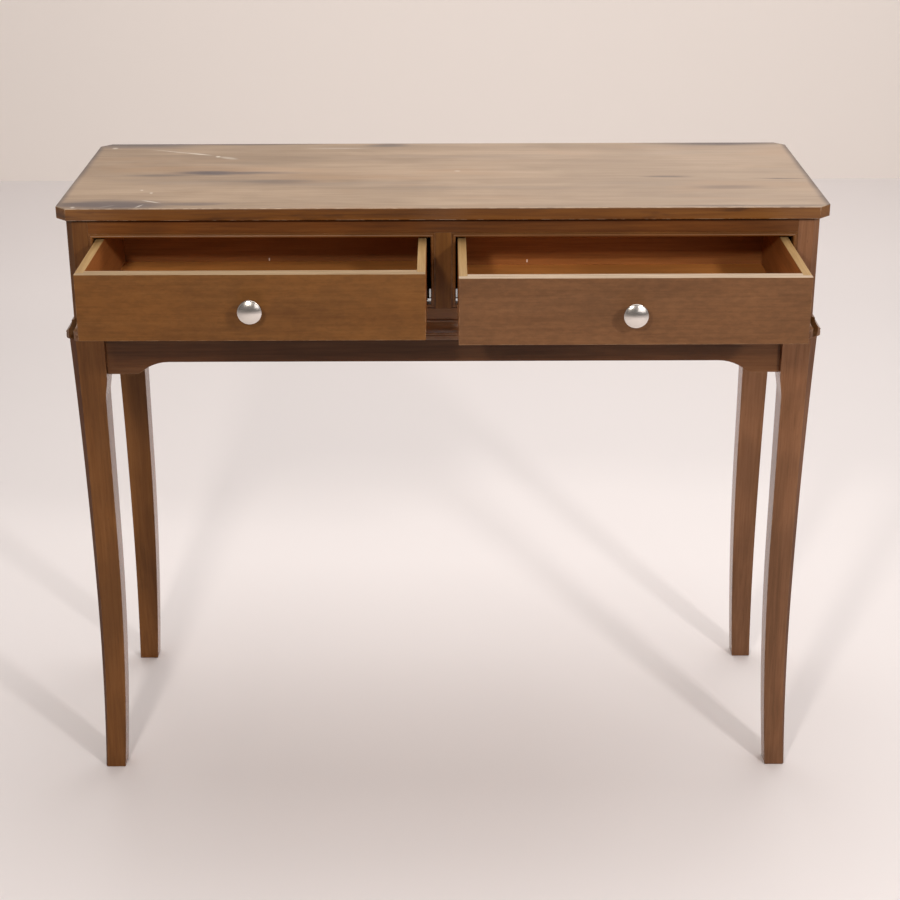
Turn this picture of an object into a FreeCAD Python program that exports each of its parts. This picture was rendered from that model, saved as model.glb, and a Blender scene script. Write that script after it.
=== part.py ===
import FreeCAD, Part
import math
import os
import Sketcher

# Console table with two drawers.
# Millimetres, +Z up, +X to the viewer's right, the drawers open towards -Y.
# Every piece is worked out about the middle of the carcass and then moved back by SETBACK, so that
# the origin lies on the floor under the middle of the whole object, open drawers included.

doc = FreeCAD.newDocument("console_table")

SIZES = (
    # overall
    ("top_length", 1016, "length of the top"),
    ("top_depth", 376, "depth of the top"),
    ("table_height", 848, "floor to top surface"),
    ("top_thickness", 16.5, "thickness of the top"),
    ("top_clip", 15, "clipped corner of the top, along each edge"),
    ("top_ease", 2, "rounding of the top's edges"),
    ("top_overhang", 11.4, "top beyond the faces of the case"),
    ("board_ease", 0.8, "rounding of the edges of visible boards"),
    # base
    ("leg_height", 666, "floor to the underside of the waist"),
    ("leg_reach", 6.9, "leg faces beyond the faces of the case"),
    ("leg_block", 47.5, "square block at the top of a leg"),
    ("slim_height", 260, "height where the leg's outer line draws in most"),
    ("slim_inset", 8.5, "how far the outer line draws in there"),
    ("toe_inset", 2.5, "how far the outer line is drawn in at the floor"),
    ("shoulder_drop", 5, "end of the apron to the start of the leg's shoulder"),
    ("shoulder_rise", 29, "height of the shoulder"),
    ("shoulder_step", 5.5, "width lost at the shoulder"),
    ("ankle_height", 360, "height where the inner line leaves the vertical"),
    ("toe_width", 27.5, "width of the foot at the floor"),
    ("leg_cant", 10, "canted outer corner at the top of a leg"),
    ("slim_cant", 5, "canted corner where the leg is slimmest"),
    ("toe_cant", 2, "canted corner at the floor"),
    ("apron_thickness", 20, "thickness of an apron"),
    ("apron_recess", 10, "apron behind the faces of the legs"),
    ("apron_depth", 35, "height of an apron in the middle"),
    ("apron_end_depth", 52, "height of an apron beside the legs"),
    ("apron_end_flat", 40, "level length of the drop at each end"),
    ("apron_round", 7, "radius of the drop's lower corner"),
    ("apron_sweep", 58, "radius of the sweep up to the middle"),
    ("block_reach", 50, "corner block beyond the leg along each apron"),
    ("block_height", 30, "height of a corner block"),
    # waist
    ("waist_height", 25, "height of the waist moulding"),
    ("waist_width", 60, "width of the waist moulding on plan"),
    ("waist_reach", 11.4, "nose of the moulding beyond the case"),
    ("waist_fillet", 2.2, "square step at the head of the moulding"),
    ("nose_height", 6, "height of the rounded nose"),
    ("cove_height", 7.2, "height of the hollow above the nose"),
    ("cove_radius", 10.8, "radius of the hollow"),
    ("quirk", 1.2, "groove under the nose"),
    ("round_height", 5.5, "rounding below the groove"),
    # case
    ("case_cant", 9, "canted corners of the case"),
    ("post_width", 29, "corner post along the front"),
    ("post_depth", 40, "corner post along the side"),
    ("frame_thickness", 20, "thickness of the face frame"),
    ("top_rail", 20, "height of the top rail"),
    ("bottom_rail", 16.3, "height of the bottom rail"),
    ("centre_stile", 20.8, "width of the centre stile"),
    ("end_panel", 14, "thickness of an end panel"),
    ("back_panel", 12, "thickness of the back of the case"),
    ("dust_panel", 6, "thickness of the bottom panel of the case"),
    ("divider", 18, "thickness of the board between the drawers"),
    ("kicker", 30, "width of a kicker"),
    ("bead_width", 6.2, "width of the bead round an opening, groove included"),
    ("bead_radius", 2.2, "radius of its half-round edge"),
    ("bead_stand", 1.6, "bead proud of the face frame"),
    ("bead_groove", 1.2, "depth of the groove between frame and bead"),
    ("bead_depth", 12, "bead behind the face of the frame"),
    # drawers
    ("left_open", 155.4, "left drawer out, as modelled"),
    ("right_open", 174.9, "right drawer out, as modelled"),
    ("side_gap", 3.9, "drawer to bead at each side"),
    ("low_gap", 1.4, "drawer above the bead below it"),
    ("high_gap", 3.4, "drawer below the bead above it"),
    ("drawer_drift", 1.4, "drawers and tracks left of the middle of their openings"),
    ("rear_gap", 21.2, "closed drawer to the back of the case"),
    ("front_thickness", 17.5, "thickness of a drawer front"),
    ("side_thickness", 11, "thickness of a drawer side"),
    ("lap_depth", 9, "drawer side let into the front"),
    ("floor_thickness", 5, "thickness of a drawer bottom"),
    ("floor_rise", 8.5, "lower edge of the sides to the drawer bottom"),
    ("groove_depth", 5, "groove that holds the drawer bottom"),
    ("groove_play", 0.2, "play of the drawer bottom in its groove"),
    ("back_inset", 2, "drawer back in from the rear ends of the sides"),
    # knobs
    ("knob_diameter", 31.75, "knob across"),
    ("knob_reach", 23, "knob out from the drawer front"),
    ("knob_rim", 1.7, "height of the knob's rim"),
    ("knob_dome", 3.7, "rise of the dome over the rim"),
    ("knob_foot", 7.5, "radius of the knob's foot"),
    ("knob_collar", 4.1, "height where the neck begins"),
    ("knob_waist", 5.6, "radius of the knob's neck"),
    ("knob_hollow", 15, "radius of the sweep from neck to rim"),
    ("knob_thread", 2, "radius of the knob screw"),
    ("knob_bore", 12, "depth of the knob's bore"),
    ("bore_rest", 1, "bore beyond the end of the screw"),
    # drawer hardware
    ("batten_height", 10, "wooden batten under a track"),
    ("batten_width", 30, "width of that batten"),
    ("track_height", 11, "height of the steel track"),
    ("track_foot", 24, "width of the track's foot"),
    ("track_head", 16, "width of the track's head"),
    ("track_web", 6, "width of the track's web"),
    ("track_sheet", 1.2, "steel of the track's foot and head"),
    ("track_end_gap", 6.5, "track short of the frame and the back"),
    ("track_screw_in", 8, "track screws in from the ends of the track"),
    ("guide_length", 30, "rear guide along the track"),
    ("guide_width", 32, "rear guide across"),
    ("guide_play", 0.6, "rear guide clear of the track"),
    ("guide_wrap", 4.8, "rear guide below the lips of the track"),
    ("guide_screw_in", 5, "rear guide screws in from its sides"),
    ("glide_play", 0.25, "corner guide clear of the drawer side"),
    ("glide_height", 20.9, "height of a corner guide"),
    ("glide_nib", 9.5, "height of its nib beside the drawer"),
    ("glide_thickness", 7.6, "corner guide along the drawer"),
    ("glide_tuck", 2, "corner guide's wall behind the bead"),
    # screws
    ("screw_radius", 2, "shank of a wood screw"),
    ("screw_head", 4, "radius of its head"),
    ("head_height", 2.4, "height of the countersunk head"),
    ("screw_play", 0.06, "hole round a screw"),
    ("block_screw", 36, "length of a corner block screw"),
    ("top_screw", 34, "length of a screw up into the top"),
    ("top_screw_spread", 97, "top screws in front of and behind the middle"),
    ("guide_screw", 16, "length of a rear guide screw"),
    ("small_screw", 14, "length of a track screw or corner guide tack"),
)

sizes = doc.addObject("Spreadsheet::Sheet", "sizes")
for row, (alias, value, note) in enumerate(SIZES, start=1):
    sizes.set(f"A{row}", alias)
    sizes.set(f"B{row}", str(value))
    sizes.set(f"C{row}", note)
    sizes.setAlias(f"B{row}", alias)
doc.recompute()

# Values worked out from the sheet, as expressions
CASE_X = "(sizes.top_length / 2 - sizes.top_overhang)"
CASE_Y = "(sizes.top_depth / 2 - sizes.top_overhang)"
LEG_X = f"({CASE_X} + sizes.leg_reach)"
LEG_Y = f"({CASE_Y} + sizes.leg_reach)"
LEG_IN_X = f"({LEG_X} - sizes.leg_block)"
LEG_IN_Y = f"({LEG_Y} - sizes.leg_block)"
APRON_IN_X = f"({LEG_X} - sizes.apron_recess - sizes.apron_thickness)"
APRON_IN_Y = f"({LEG_Y} - sizes.apron_recess - sizes.apron_thickness)"
TOP_LOW = "(sizes.table_height - sizes.top_thickness)"
WAIST_TOP = "(sizes.leg_height + sizes.waist_height)"
POST_IN = f"({CASE_X} - sizes.post_width)"
FRAME_BACK = f"(-{CASE_Y} + sizes.frame_thickness)"
PANEL_FRONT = f"({CASE_Y} - sizes.back_panel)"
STILE_X = "(sizes.centre_stile / 2)"
HOLE_LOW = f"({WAIST_TOP} + sizes.bottom_rail)"
HOLE_HIGH = f"({TOP_LOW} - sizes.top_rail)"
CLEAR_LOW = f"({HOLE_LOW} + sizes.bead_width)"
CLEAR_HIGH = f"({HOLE_HIGH} - sizes.bead_width)"
BAY_X = f"(({STILE_X} + {POST_IN}) / 2)"
HOLE_HALF = f"(({POST_IN} - {STILE_X}) / 2)"
DRAWER_HALF = f"({HOLE_HALF} - sizes.bead_width - sizes.side_gap)"
DRAWER_LOW = f"({CLEAR_LOW} + sizes.low_gap)"
DRAWER_TALL = f"({CLEAR_HIGH} - sizes.high_gap - {DRAWER_LOW})"
DRAWER_LONG = f"(2 * {CASE_Y} - sizes.back_panel - sizes.rear_gap)"
FLOOR_LOW = f"({DRAWER_LOW} + sizes.floor_rise)"
DUST_TOP = f"({WAIST_TOP} + sizes.dust_panel)"
TRACK_LOW = f"({DUST_TOP} + sizes.batten_height)"
TRACK_FRONT = f"({FRAME_BACK} + sizes.track_end_gap)"
TRACK_BACK = f"({PANEL_FRONT} - sizes.track_end_gap)"
FRONTMOST = f"({CASE_Y} + max(sizes.left_open; sizes.right_open) + sizes.knob_reach)"
SETBACK = f"(({FRONTMOST} - sizes.top_depth / 2) / 2)"

PAST = 1  # a cutter runs this far past the faces it opens
NEAR = 0.01  # two levels closer than this are the same

parts = {}


def number(text):
    """The present value of an expression."""
    return float(sizes.evalExpression(str(text)))


def place(item, x="0", y="0", z="0", turn=None):
    """Put an object at expressions about the middle of the carcass, turned if asked."""
    if turn is not None:
        item.Placement = FreeCAD.Placement(FreeCAD.Vector(), turn)
    item.setExpression("Placement.Base.x", str(x))
    item.setExpression("Placement.Base.y", f"{SETBACK} + ({y})")
    item.setExpression("Placement.Base.z", str(z))
    return item


def keep(node, item):
    """Name the object that is one sub-part."""
    item.Label = node
    parts[node] = item
    return item


# ---- shapes that several sub-parts share ----

def box(name, x, y, z):
    """A square-edged block between two values on each axis."""
    item = doc.addObject("Part::Box", name)
    item.setExpression("Length", f"({x[1]}) - ({x[0]})")
    item.setExpression("Width", f"({y[1]}) - ({y[0]})")
    item.setExpression("Height", f"({z[1]}) - ({z[0]})")
    return place(item, x[0], y[0], z[0])


def start_sketch(body, role, name):
    """A sketch on one of the body's own origin planes."""
    sketch = body.newObject("Sketcher::SketchObject", name)
    plane = next(item for item in body.Origin.OriginFeatures if item.Role == role)
    sketch.AttachmentSupport = [(plane, "")]
    sketch.MapMode = "FlatFace"
    return sketch


def arc_between(start, end, radius, side):
    """The short arc of a radius from start to end; side 1 has its centre on the left of the way."""
    chord = end - start
    middle = (start + end) / 2
    rise = math.sqrt(max(radius ** 2 - (chord.Length / 2) ** 2, 0))
    left = FreeCAD.Vector(-chord.y, chord.x, 0) / chord.Length
    centre = middle + left * rise * side
    return Part.Arc(start, centre - left * side * radius, end)


def outline(sketch, corners):
    """A closed outline. A corner is (x, y), or (x, y, radius, side) when the edge after it is an arc.
    Each corner is held by its distances from the sketch's origin, and each arc by its radius."""
    points = [FreeCAD.Vector(number(corner[0]), number(corner[1]), 0) for corner in corners]
    edges = []
    for index, corner in enumerate(corners):
        start, end = points[index], points[(index + 1) % len(points)]
        if len(corner) == 2:
            edges.append(Part.LineSegment(start, end))
        else:
            edges.append(arc_between(start, end, number(corner[2]), corner[3]))
    geometry = [sketch.addGeometry(edge, False) for edge in edges]
    starts = []
    for index, corner in enumerate(corners):
        counter_clockwise = len(corner) == 2 or corner[3] == 1
        starts.append((geometry[index], 1 if counter_clockwise else 2))
    for index, (edge, vertex) in enumerate(starts):
        far_vertex = 3 - vertex
        following = starts[(index + 1) % len(starts)]
        sketch.addConstraint(Sketcher.Constraint("Coincident", edge, far_vertex, *following))
    for index, corner in enumerate(corners):
        edge, vertex = starts[index]
        for kind, text, value in (("DistanceX", corner[0], points[index].x),
                                  ("DistanceY", corner[1], points[index].y)):
            held = sketch.addConstraint(Sketcher.Constraint(kind, -1, 1, edge, vertex, value))
            sketch.setExpression(f"Constraints[{held}]", str(text))
        if len(corner) == 4:
            held = sketch.addConstraint(Sketcher.Constraint("Radius", edge, number(corner[2])))
            sketch.setExpression(f"Constraints[{held}]", str(corner[2]))
    return sketch


def pad(name, role, corners, length, reverse=False, midplane=False):
    """A body: one closed outline on an origin plane, given a thickness."""
    body = doc.addObject("PartDesign::Body", name)
    sketch = outline(start_sketch(body, role, name + "_outline"), corners)
    feature = body.newObject("PartDesign::Pad", name + "_pad")
    feature.Profile = sketch
    feature.Reversed = reverse
    feature.Midplane = midplane
    feature.setExpression("Length", str(length))
    sketch.Visibility = False
    return body


def ease(body, radius, chosen):
    """Round the edges of the body's last feature for which chosen(edge) is true."""
    doc.recompute()
    base = body.Tip
    names = [f"Edge{index}" for index, edge in enumerate(base.Shape.Edges, start=1) if chosen(edge)]
    rounding = body.newObject("PartDesign::Fillet", body.Name + "_ease")
    rounding.Base = (base, names)
    rounding.setExpression("Radius", radius)
    return body


def rectangle(wide, tall):
    """Corners of a rectangle from the sketch's origin."""
    return [("0", "0"), (wide, "0"), (wide, tall), ("0", tall)]


def eased_board(name, x, y, z, chosen=lambda edge: True):
    """A board between two values on each axis, with lightly rounded edges."""
    body = pad(name, "XY_Plane", rectangle(f"({x[1]}) - ({x[0]})", f"({y[1]}) - ({y[0]})"),
               f"({z[1]}) - ({z[0]})")
    ease(body, "sizes.board_ease", chosen)
    return place(body, x[0], y[0], z[0])


def combine(kind, name, items):
    """A boolean of several objects, left where they are."""
    item = doc.addObject(kind, name)
    item.Shapes = items
    return item


def carve(name, base, tools):
    """The base with the tools taken out of it."""
    item = doc.addObject("Part::Cut", name)
    item.Base = base
    item.Tool = tools[0] if len(tools) == 1 else combine("Part::MultiFuse", name + "_waste", tools)
    return item


def group(name, items):
    """Separate solids that share one node."""
    item = doc.addObject("Part::Compound", name)
    item.Links = items
    return item


def octagon(half_x, half_y, clip):
    """A rectangle with clipped corners, from the middle of its front side round to the right."""
    return [("0", f"-{half_y}"), (f"{half_x} - {clip}", f"-{half_y}"),
            (half_x, f"-{half_y} + {clip}"), (half_x, f"{half_y} - {clip}"),
            (f"{half_x} - {clip}", half_y), (f"-{half_x} + {clip}", half_y),
            (f"-{half_x}", f"{half_y} - {clip}"), (f"-{half_x}", f"-{half_y} + {clip}"),
            (f"-{half_x} + {clip}", f"-{half_y}")]


def carry(body, kind, path, profile):
    """A profile in the plane x = 0 carried round a closed path with sharp mitres, added or taken off."""
    spine = outline(start_sketch(body, "XY_Plane", body.Name + "_path"), path)
    section = outline(start_sketch(body, "YZ_Plane", body.Name + "_section"), profile)
    doc.recompute()
    sweep = body.newObject(kind, body.Name + "_sweep")
    sweep.Profile = section
    sweep.Spine = (spine, [f"Edge{index + 1}" for index in range(len(path))])
    sweep.Transition = "Right corner"
    return body


TO_FRONT = FreeCAD.Rotation(FreeCAD.Vector(1, 0, 0), 90)
TO_BACK = FreeCAD.Rotation(FreeCAD.Vector(1, 0, 0), -90)
TO_RIGHT = FreeCAD.Rotation(FreeCAD.Vector(0, 1, 0), 90)
TO_LEFT = FreeCAD.Rotation(FreeCAD.Vector(0, 1, 0), -90)
UP = FreeCAD.Rotation()
DOWN = FreeCAD.Rotation(FreeCAD.Vector(1, 0, 0), 180)


def screw(name, x, y, z, turn, length, play="0"):
    """A countersunk screw from the face of its head; with play it is the hole that takes it."""
    shank = doc.addObject("Part::Cylinder", name + "_shank")
    shank.setExpression("Radius", f"sizes.screw_radius + {play}")
    shank.setExpression("Height", f"{length} + {play}")
    head = doc.addObject("Part::Cone", name + "_head")
    head.setExpression("Radius1", f"sizes.screw_head + {play}")
    head.setExpression("Radius2", f"sizes.screw_radius + {play}")
    head.setExpression("Height", f"sizes.head_height + {play}")
    for item in (shank, head):
        place(item, x, y, z, turn)
    return combine("Part::MultiFuse", name, [shank, head])


def screws_and_holes(name, places, length):
    """A screw and its hole for each (x, y, z, turn)."""
    screws = []
    holes = []
    for index, (x, y, z, turn) in enumerate(places):
        screws.append(screw(f"{name}_{index}", x, y, z, turn, length))
        holes.append(screw(f"{name}_hole_{index}", x, y, z, turn, length, "sizes.screw_play"))
    return screws, holes


def is_level(edge):
    return abs(edge.Vertexes[0].Z - edge.Vertexes[-1].Z) < NEAR


def runs_back(edge):
    """True for a straight edge along Y."""
    return is_level(edge) and abs(edge.Vertexes[0].X - edge.Vertexes[-1].X) < NEAR


def hang(sign):
    """The middle of a drawer and its track."""
    return f"({sign} * {BAY_X} - sizes.drawer_drift)"


CORNERS = (("front_left", -1, -1), ("front_right", 1, -1), ("rear_left", -1, 1), ("rear_right", 1, 1))
ENDS = (("left", -1), ("right", 1))


# ---- screws up through the kickers into the top ----

top_screw_places = []
for side in (-1, 1):
    for hand in (-1, 1):
        top_screw_places.append((f"{side} * {BAY_X}", f"{hand} * sizes.top_screw_spread", CLEAR_HIGH, UP))
top_screws, top_screw_holes = screws_and_holes("top_screw", top_screw_places, "sizes.top_screw")
keep("top_screws", group("top_screws", top_screws))


# ---- top ----

def table_top():
    """A board with clipped corners, its long edges eased."""
    slab = pad("top_board", "XY_Plane",
               octagon("sizes.top_length / 2", "sizes.top_depth / 2", "sizes.top_clip"),
               "sizes.top_thickness")
    ease(slab, "sizes.top_ease", is_level)
    place(slab, z=TOP_LOW)
    keep("table_top", carve("table_top", slab, top_screw_holes))


table_top()


# ---- legs, aprons and corner blocks ----

def bowed(drop, run):
    """Radius of an arc that leaves the vertical and moves drop sideways over run."""
    return f"(({drop})^2 + ({run})^2) / (2 * ({drop}))"


def leg_outline(reach, sign):
    """One face of a leg: a square block, a shoulder, and a line that bows in and kicks out."""
    upper = f"(sizes.leg_height - sizes.slim_height)"
    shoulder = "(sizes.leg_height - sizes.apron_end_depth - sizes.shoulder_drop)"
    inner = f"({reach} - sizes.leg_block)"
    slim_inner = f"({inner} + sizes.shoulder_step)"
    heel = f"({reach} - sizes.toe_inset - sizes.toe_width)"
    kick = "(sizes.slim_inset - sizes.toe_inset)"
    return [
        (f"{sign} * {inner}", "sizes.leg_height"),
        (f"{sign} * {inner}", shoulder, bowed("sizes.shoulder_step", "sizes.shoulder_rise"), sign),
        (f"{sign} * {slim_inner}", f"{shoulder} - sizes.shoulder_rise"),
        (f"{sign} * {slim_inner}", "sizes.ankle_height",
         bowed(f"{heel} - {slim_inner}", "sizes.ankle_height"), sign),
        (f"{sign} * {heel}", "0"),
        (f"{sign} * ({reach} - sizes.toe_inset)", "0",
         bowed(kick, "sizes.slim_height"), -sign),
        (f"{sign} * ({reach} - sizes.slim_inset)", "sizes.slim_height",
         bowed("sizes.slim_inset", upper), -sign),
        (f"{sign} * {reach}", "sizes.leg_height"),
    ]


def leg_corner_waste(name, sx, sy):
    """What the cant takes off the outer corner, drawn in the diagonal plane of the leg."""
    def line(inset, cant):
        return f"(-sqrt(2) * {inset} - {cant} / sqrt(2))"
    high = line("0", "sizes.leg_cant")
    slim = line("sizes.slim_inset", "sizes.slim_cant")
    low = line("sizes.toe_inset", "sizes.toe_cant")
    clear = "sizes.leg_block"
    upper = "(sizes.leg_height - sizes.slim_height)"
    waste = pad(name, "XZ_Plane", [
        (clear, "0"),
        (clear, "sizes.leg_height"),
        (high, "sizes.leg_height", bowed(f"{high} - {slim}", upper), 1),
        (slim, "sizes.slim_height", bowed(f"{low} - {slim}", "sizes.slim_height"), 1),
        (low, "0"),
    ], "2 * sizes.leg_block", midplane=True)
    turn = FreeCAD.Rotation(FreeCAD.Vector(0, 0, 1), math.degrees(math.atan2(sy, sx)))
    return place(waste, f"{sx} * {LEG_X}", f"{sy} * {LEG_Y}", "0", turn)


def leg(corner, sx, sy):
    """The same outline sawn on both faces of a square post, then the outer corner canted."""
    node = corner + "_leg"
    face = place(pad(node + "_face", "XZ_Plane", leg_outline(LEG_X, sx), LEG_Y, reverse=sy > 0))
    flank = place(pad(node + "_flank", "YZ_Plane", leg_outline(LEG_Y, sy), LEG_X, reverse=sx < 0))
    post = combine("Part::MultiCommon", node + "_post", [face, flank])
    keep(node, carve(node, post, [leg_corner_waste(node + "_cant", sx, sy)]))


for corner, sx, sy in CORNERS:
    leg(corner, sx, sy)


def apron_outline(half):
    """Straight along the top; below, a level drop at each end and a hollow sweep to the middle."""
    middle = "(sizes.leg_height - sizes.apron_depth)"
    low = "(sizes.leg_height - sizes.apron_end_depth)"
    flat_end = f"({half} - sizes.apron_end_flat)"
    radii = "(sizes.apron_round + sizes.apron_sweep)"
    rise = f"({middle} - {low})"
    run = f"sqrt({radii}^2 - ({radii} - {rise})^2)"
    share = f"(sizes.apron_round / {radii})"
    joint_x = f"({flat_end} - {run} * {share})"
    joint_z = f"({low} + {rise} * {share})"
    right = [
        (half, low),
        (flat_end, low, "sizes.apron_round", -1),
        (joint_x, joint_z, "sizes.apron_sweep", 1),
        (f"{flat_end} - {run}", middle),
    ]
    left = [
        (f"-({flat_end} - {run})", middle, "sizes.apron_sweep", 1),
        (f"-{joint_x}", joint_z, "sizes.apron_round", -1),
        (f"-{flat_end}", low),
        (f"-({half})", low),
    ]
    return [(f"-({half})", "sizes.leg_height"), (half, "sizes.leg_height")] + right + left


block_screw_places = []
for corner, sx, sy in CORNERS:
    head_gap = "(sizes.block_reach / 2 - sizes.head_height)"
    level = "(sizes.leg_height - sizes.block_height / 2)"
    block_screw_places.append((f"{sx} * ({LEG_IN_X} - sizes.block_reach / 2)",
                               f"{sy} * ({APRON_IN_Y} - {head_gap})", level,
                               TO_BACK if sy > 0 else TO_FRONT))
    block_screw_places.append((f"{sx} * ({APRON_IN_X} - {head_gap})",
                               f"{sy} * ({LEG_IN_Y} - sizes.block_reach / 2)", level,
                               TO_RIGHT if sx > 0 else TO_LEFT))
block_screws, block_holes = screws_and_holes("block_screw", block_screw_places, "sizes.block_screw")
keep("corner_block_screws", group("corner_block_screws", block_screws))


def aprons():
    """Front and back aprons between the legs, and one at each end."""
    for node, sign in (("front_apron", -1), ("back_apron", 1)):
        body = pad(node + "_board", "XZ_Plane", apron_outline(LEG_IN_X), "sizes.apron_thickness",
                   reverse=sign > 0)
        holes = [hole for hole, spot in zip(block_holes, block_screw_places)
                 if spot[3] is (TO_BACK if sign > 0 else TO_FRONT)]
        keep(node, carve(node, place(body, y=f"{sign} * {APRON_IN_Y}"), holes))
    for side, sign in ENDS:
        node = side + "_apron"
        body = pad(node + "_board", "YZ_Plane", apron_outline(LEG_IN_Y), "sizes.apron_thickness",
                   reverse=sign < 0)
        holes = [hole for hole, spot in zip(block_holes, block_screw_places)
                 if spot[3] is (TO_RIGHT if sign > 0 else TO_LEFT)]
        keep(node, carve(node, place(body, x=f"{sign} * {APRON_IN_X}"), holes))


aprons()


def corner_blocks():
    """A block behind each leg, notched round it and screwed to both aprons."""
    blocks = []
    for index, (corner, sx, sy) in enumerate(CORNERS):
        far_x = f"({LEG_IN_X} - sizes.block_reach)"
        far_y = f"({LEG_IN_Y} - sizes.block_reach)"
        body = pad(corner + "_block", "XY_Plane", [
            (f"{sx} * {LEG_IN_X}", f"{sy} * {LEG_IN_Y}"),
            (f"{sx} * {LEG_IN_X}", f"{sy} * {APRON_IN_Y}"),
            (f"{sx} * {far_x}", f"{sy} * {APRON_IN_Y}"),
            (f"{sx} * {APRON_IN_X}", f"{sy} * {far_y}"),
            (f"{sx} * {APRON_IN_X}", f"{sy} * {LEG_IN_Y}"),
        ], "sizes.block_height")
        place(body, z="sizes.leg_height - sizes.block_height")
        blocks.append(carve(corner + "_bored_block", body, block_holes[2 * index:2 * index + 2]))
    keep("corner_blocks", group("corner_blocks", blocks))


corner_blocks()


# ---- waist moulding ----

def edge_waste():
    """What the cutter takes off the edge of the waist: step, cove, nose, groove and round below."""
    def out(distance):
        return f"-{CASE_Y} - {distance}"
    height = "sizes.waist_height"
    nose_top = f"({height} - sizes.waist_fillet - sizes.cove_height)"
    nose_low = f"({nose_top} - sizes.nose_height)"
    belly = "(sizes.waist_reach - sizes.quirk)"
    lower = "(sizes.waist_reach - sizes.quirk / 2)"
    beyond = "(sizes.waist_reach + sizes.waist_fillet)"
    return [
        (out(beyond), f"-{PAST}"),
        (out(beyond), f"{height} + {PAST}"),
        (out("sizes.waist_fillet"), f"{height} + {PAST}"),
        (out("sizes.waist_fillet"), f"{height} - sizes.waist_fillet", "sizes.cove_radius", -1),
        (out(belly), nose_top),
        (out("sizes.waist_reach"), f"{nose_top} - sizes.quirk"),
        (out("sizes.waist_reach"), f"{nose_low} + sizes.quirk"),
        (out(belly), nose_low),
        (out(f"{belly} + sizes.quirk"), nose_low),
        (out(f"{belly} + sizes.quirk"), f"{nose_low} - sizes.quirk"),
        (out(lower), f"{nose_low} - sizes.quirk"),
        (out(lower), "sizes.round_height", "sizes.round_height", -1),
        (out("sizes.leg_reach"), "0"),
        (out("sizes.leg_reach"), f"-{PAST}"),
    ]


def waist():
    """A frame with a coved and nosed edge, mitred from four rails; its corners are clipped."""
    height = "sizes.waist_height"
    frame = pad("waist_frame", "XY_Plane",
                octagon(f"({CASE_X} + sizes.waist_reach)", f"({CASE_Y} + sizes.waist_reach)",
                        "(sizes.case_cant + (2 - sqrt(2)) * sizes.waist_reach)"), height)
    carry(frame, "PartDesign::SubtractivePipe", octagon(CASE_X, CASE_Y, "sizes.case_cant"), edge_waste())
    place(frame, z="sizes.leg_height")
    inner = "(sizes.waist_width - sizes.waist_reach)"
    window = box("waist_window", (f"-{CASE_X} + {inner}", f"{CASE_X} - {inner}"),
                 (f"-{CASE_Y} + {inner}", f"{CASE_Y} - {inner}"),
                 (f"sizes.leg_height - {PAST}", f"{WAIST_TOP} + {PAST}"))
    frame = carve("waist_ring", frame, [window])
    out_x = f"({CASE_X} + sizes.waist_reach + {PAST})"
    out_y = f"({CASE_Y} + sizes.waist_reach + {PAST})"
    for node, sign in (("waist_front", -1), ("waist_back", 1)):
        sector = pad(node + "_sector", "XY_Plane", [
            (f"-({out_x})", f"{sign} * {out_y}"),
            (out_x, f"{sign} * {out_y}"),
            (f"{out_x} - {out_y}", "0"),
            (f"{out_y} - {out_x}", "0"),
        ], height)
        place(sector, z="sizes.leg_height")
        keep(node, combine("Part::MultiCommon", node, [frame, sector]))
    for side, sign in ENDS:
        node = "waist_" + side
        sector = pad(node + "_sector", "XY_Plane", [
            (f"{sign} * {out_x}", f"-({out_y})"),
            (f"{sign} * {out_x}", out_y),
            (f"{sign} * ({out_x} - {out_y})", "0"),
        ], height)
        place(sector, z="sizes.leg_height")
        keep(node, combine("Part::MultiCommon", node, [frame, sector]))


waist()


# ---- case ----

def posts():
    """Corner posts, canted on the outer corner like the top."""
    for corner, sx, sy in CORNERS:
        body = pad(corner + "_post", "XY_Plane", [
            (f"{sx} * {POST_IN}", f"{sy} * ({CASE_Y} - sizes.post_depth)"),
            (f"{sx} * {CASE_X}", f"{sy} * ({CASE_Y} - sizes.post_depth)"),
            (f"{sx} * {CASE_X}", f"{sy} * ({CASE_Y} - sizes.case_cant)"),
            (f"{sx} * ({CASE_X} - sizes.case_cant)", f"{sy} * {CASE_Y}"),
            (f"{sx} * {POST_IN}", f"{sy} * {CASE_Y}"),
        ], f"{TOP_LOW} - {WAIST_TOP}")
        keep(corner + "_post", place(body, z=WAIST_TOP))


posts()

across = (f"-{POST_IN}", POST_IN)
frame_depth = (f"-{CASE_Y}", FRAME_BACK)
inside_depth = (FRAME_BACK, PANEL_FRONT)

for side, sign in ENDS:
    inner, outer = f"{CASE_X} - sizes.end_panel", CASE_X
    span = (inner, outer) if sign > 0 else (f"-({outer})", f"-({inner})")
    depth = (f"-{CASE_Y} + sizes.post_depth", f"{CASE_Y} - sizes.post_depth")
    keep(side + "_end_panel", box(side + "_end_panel", span, depth, (WAIST_TOP, TOP_LOW)))

keep("top_rail", box("top_rail_board", across, frame_depth, (HOLE_HIGH, TOP_LOW)))
keep("centre_stile", box("stile_board", (f"-{STILE_X}", STILE_X), frame_depth, (HOLE_LOW, HOLE_HIGH)))
keep("case_back", box("case_back", across, (PANEL_FRONT, CASE_Y), (WAIST_TOP, TOP_LOW)))
keep("centre_divider", box("divider_board", ("-sizes.divider / 2", "sizes.divider / 2"),
                           inside_depth, (DUST_TOP, TOP_LOW)))


# ---- corner guides at the front of each opening, and their tacks ----

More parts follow.
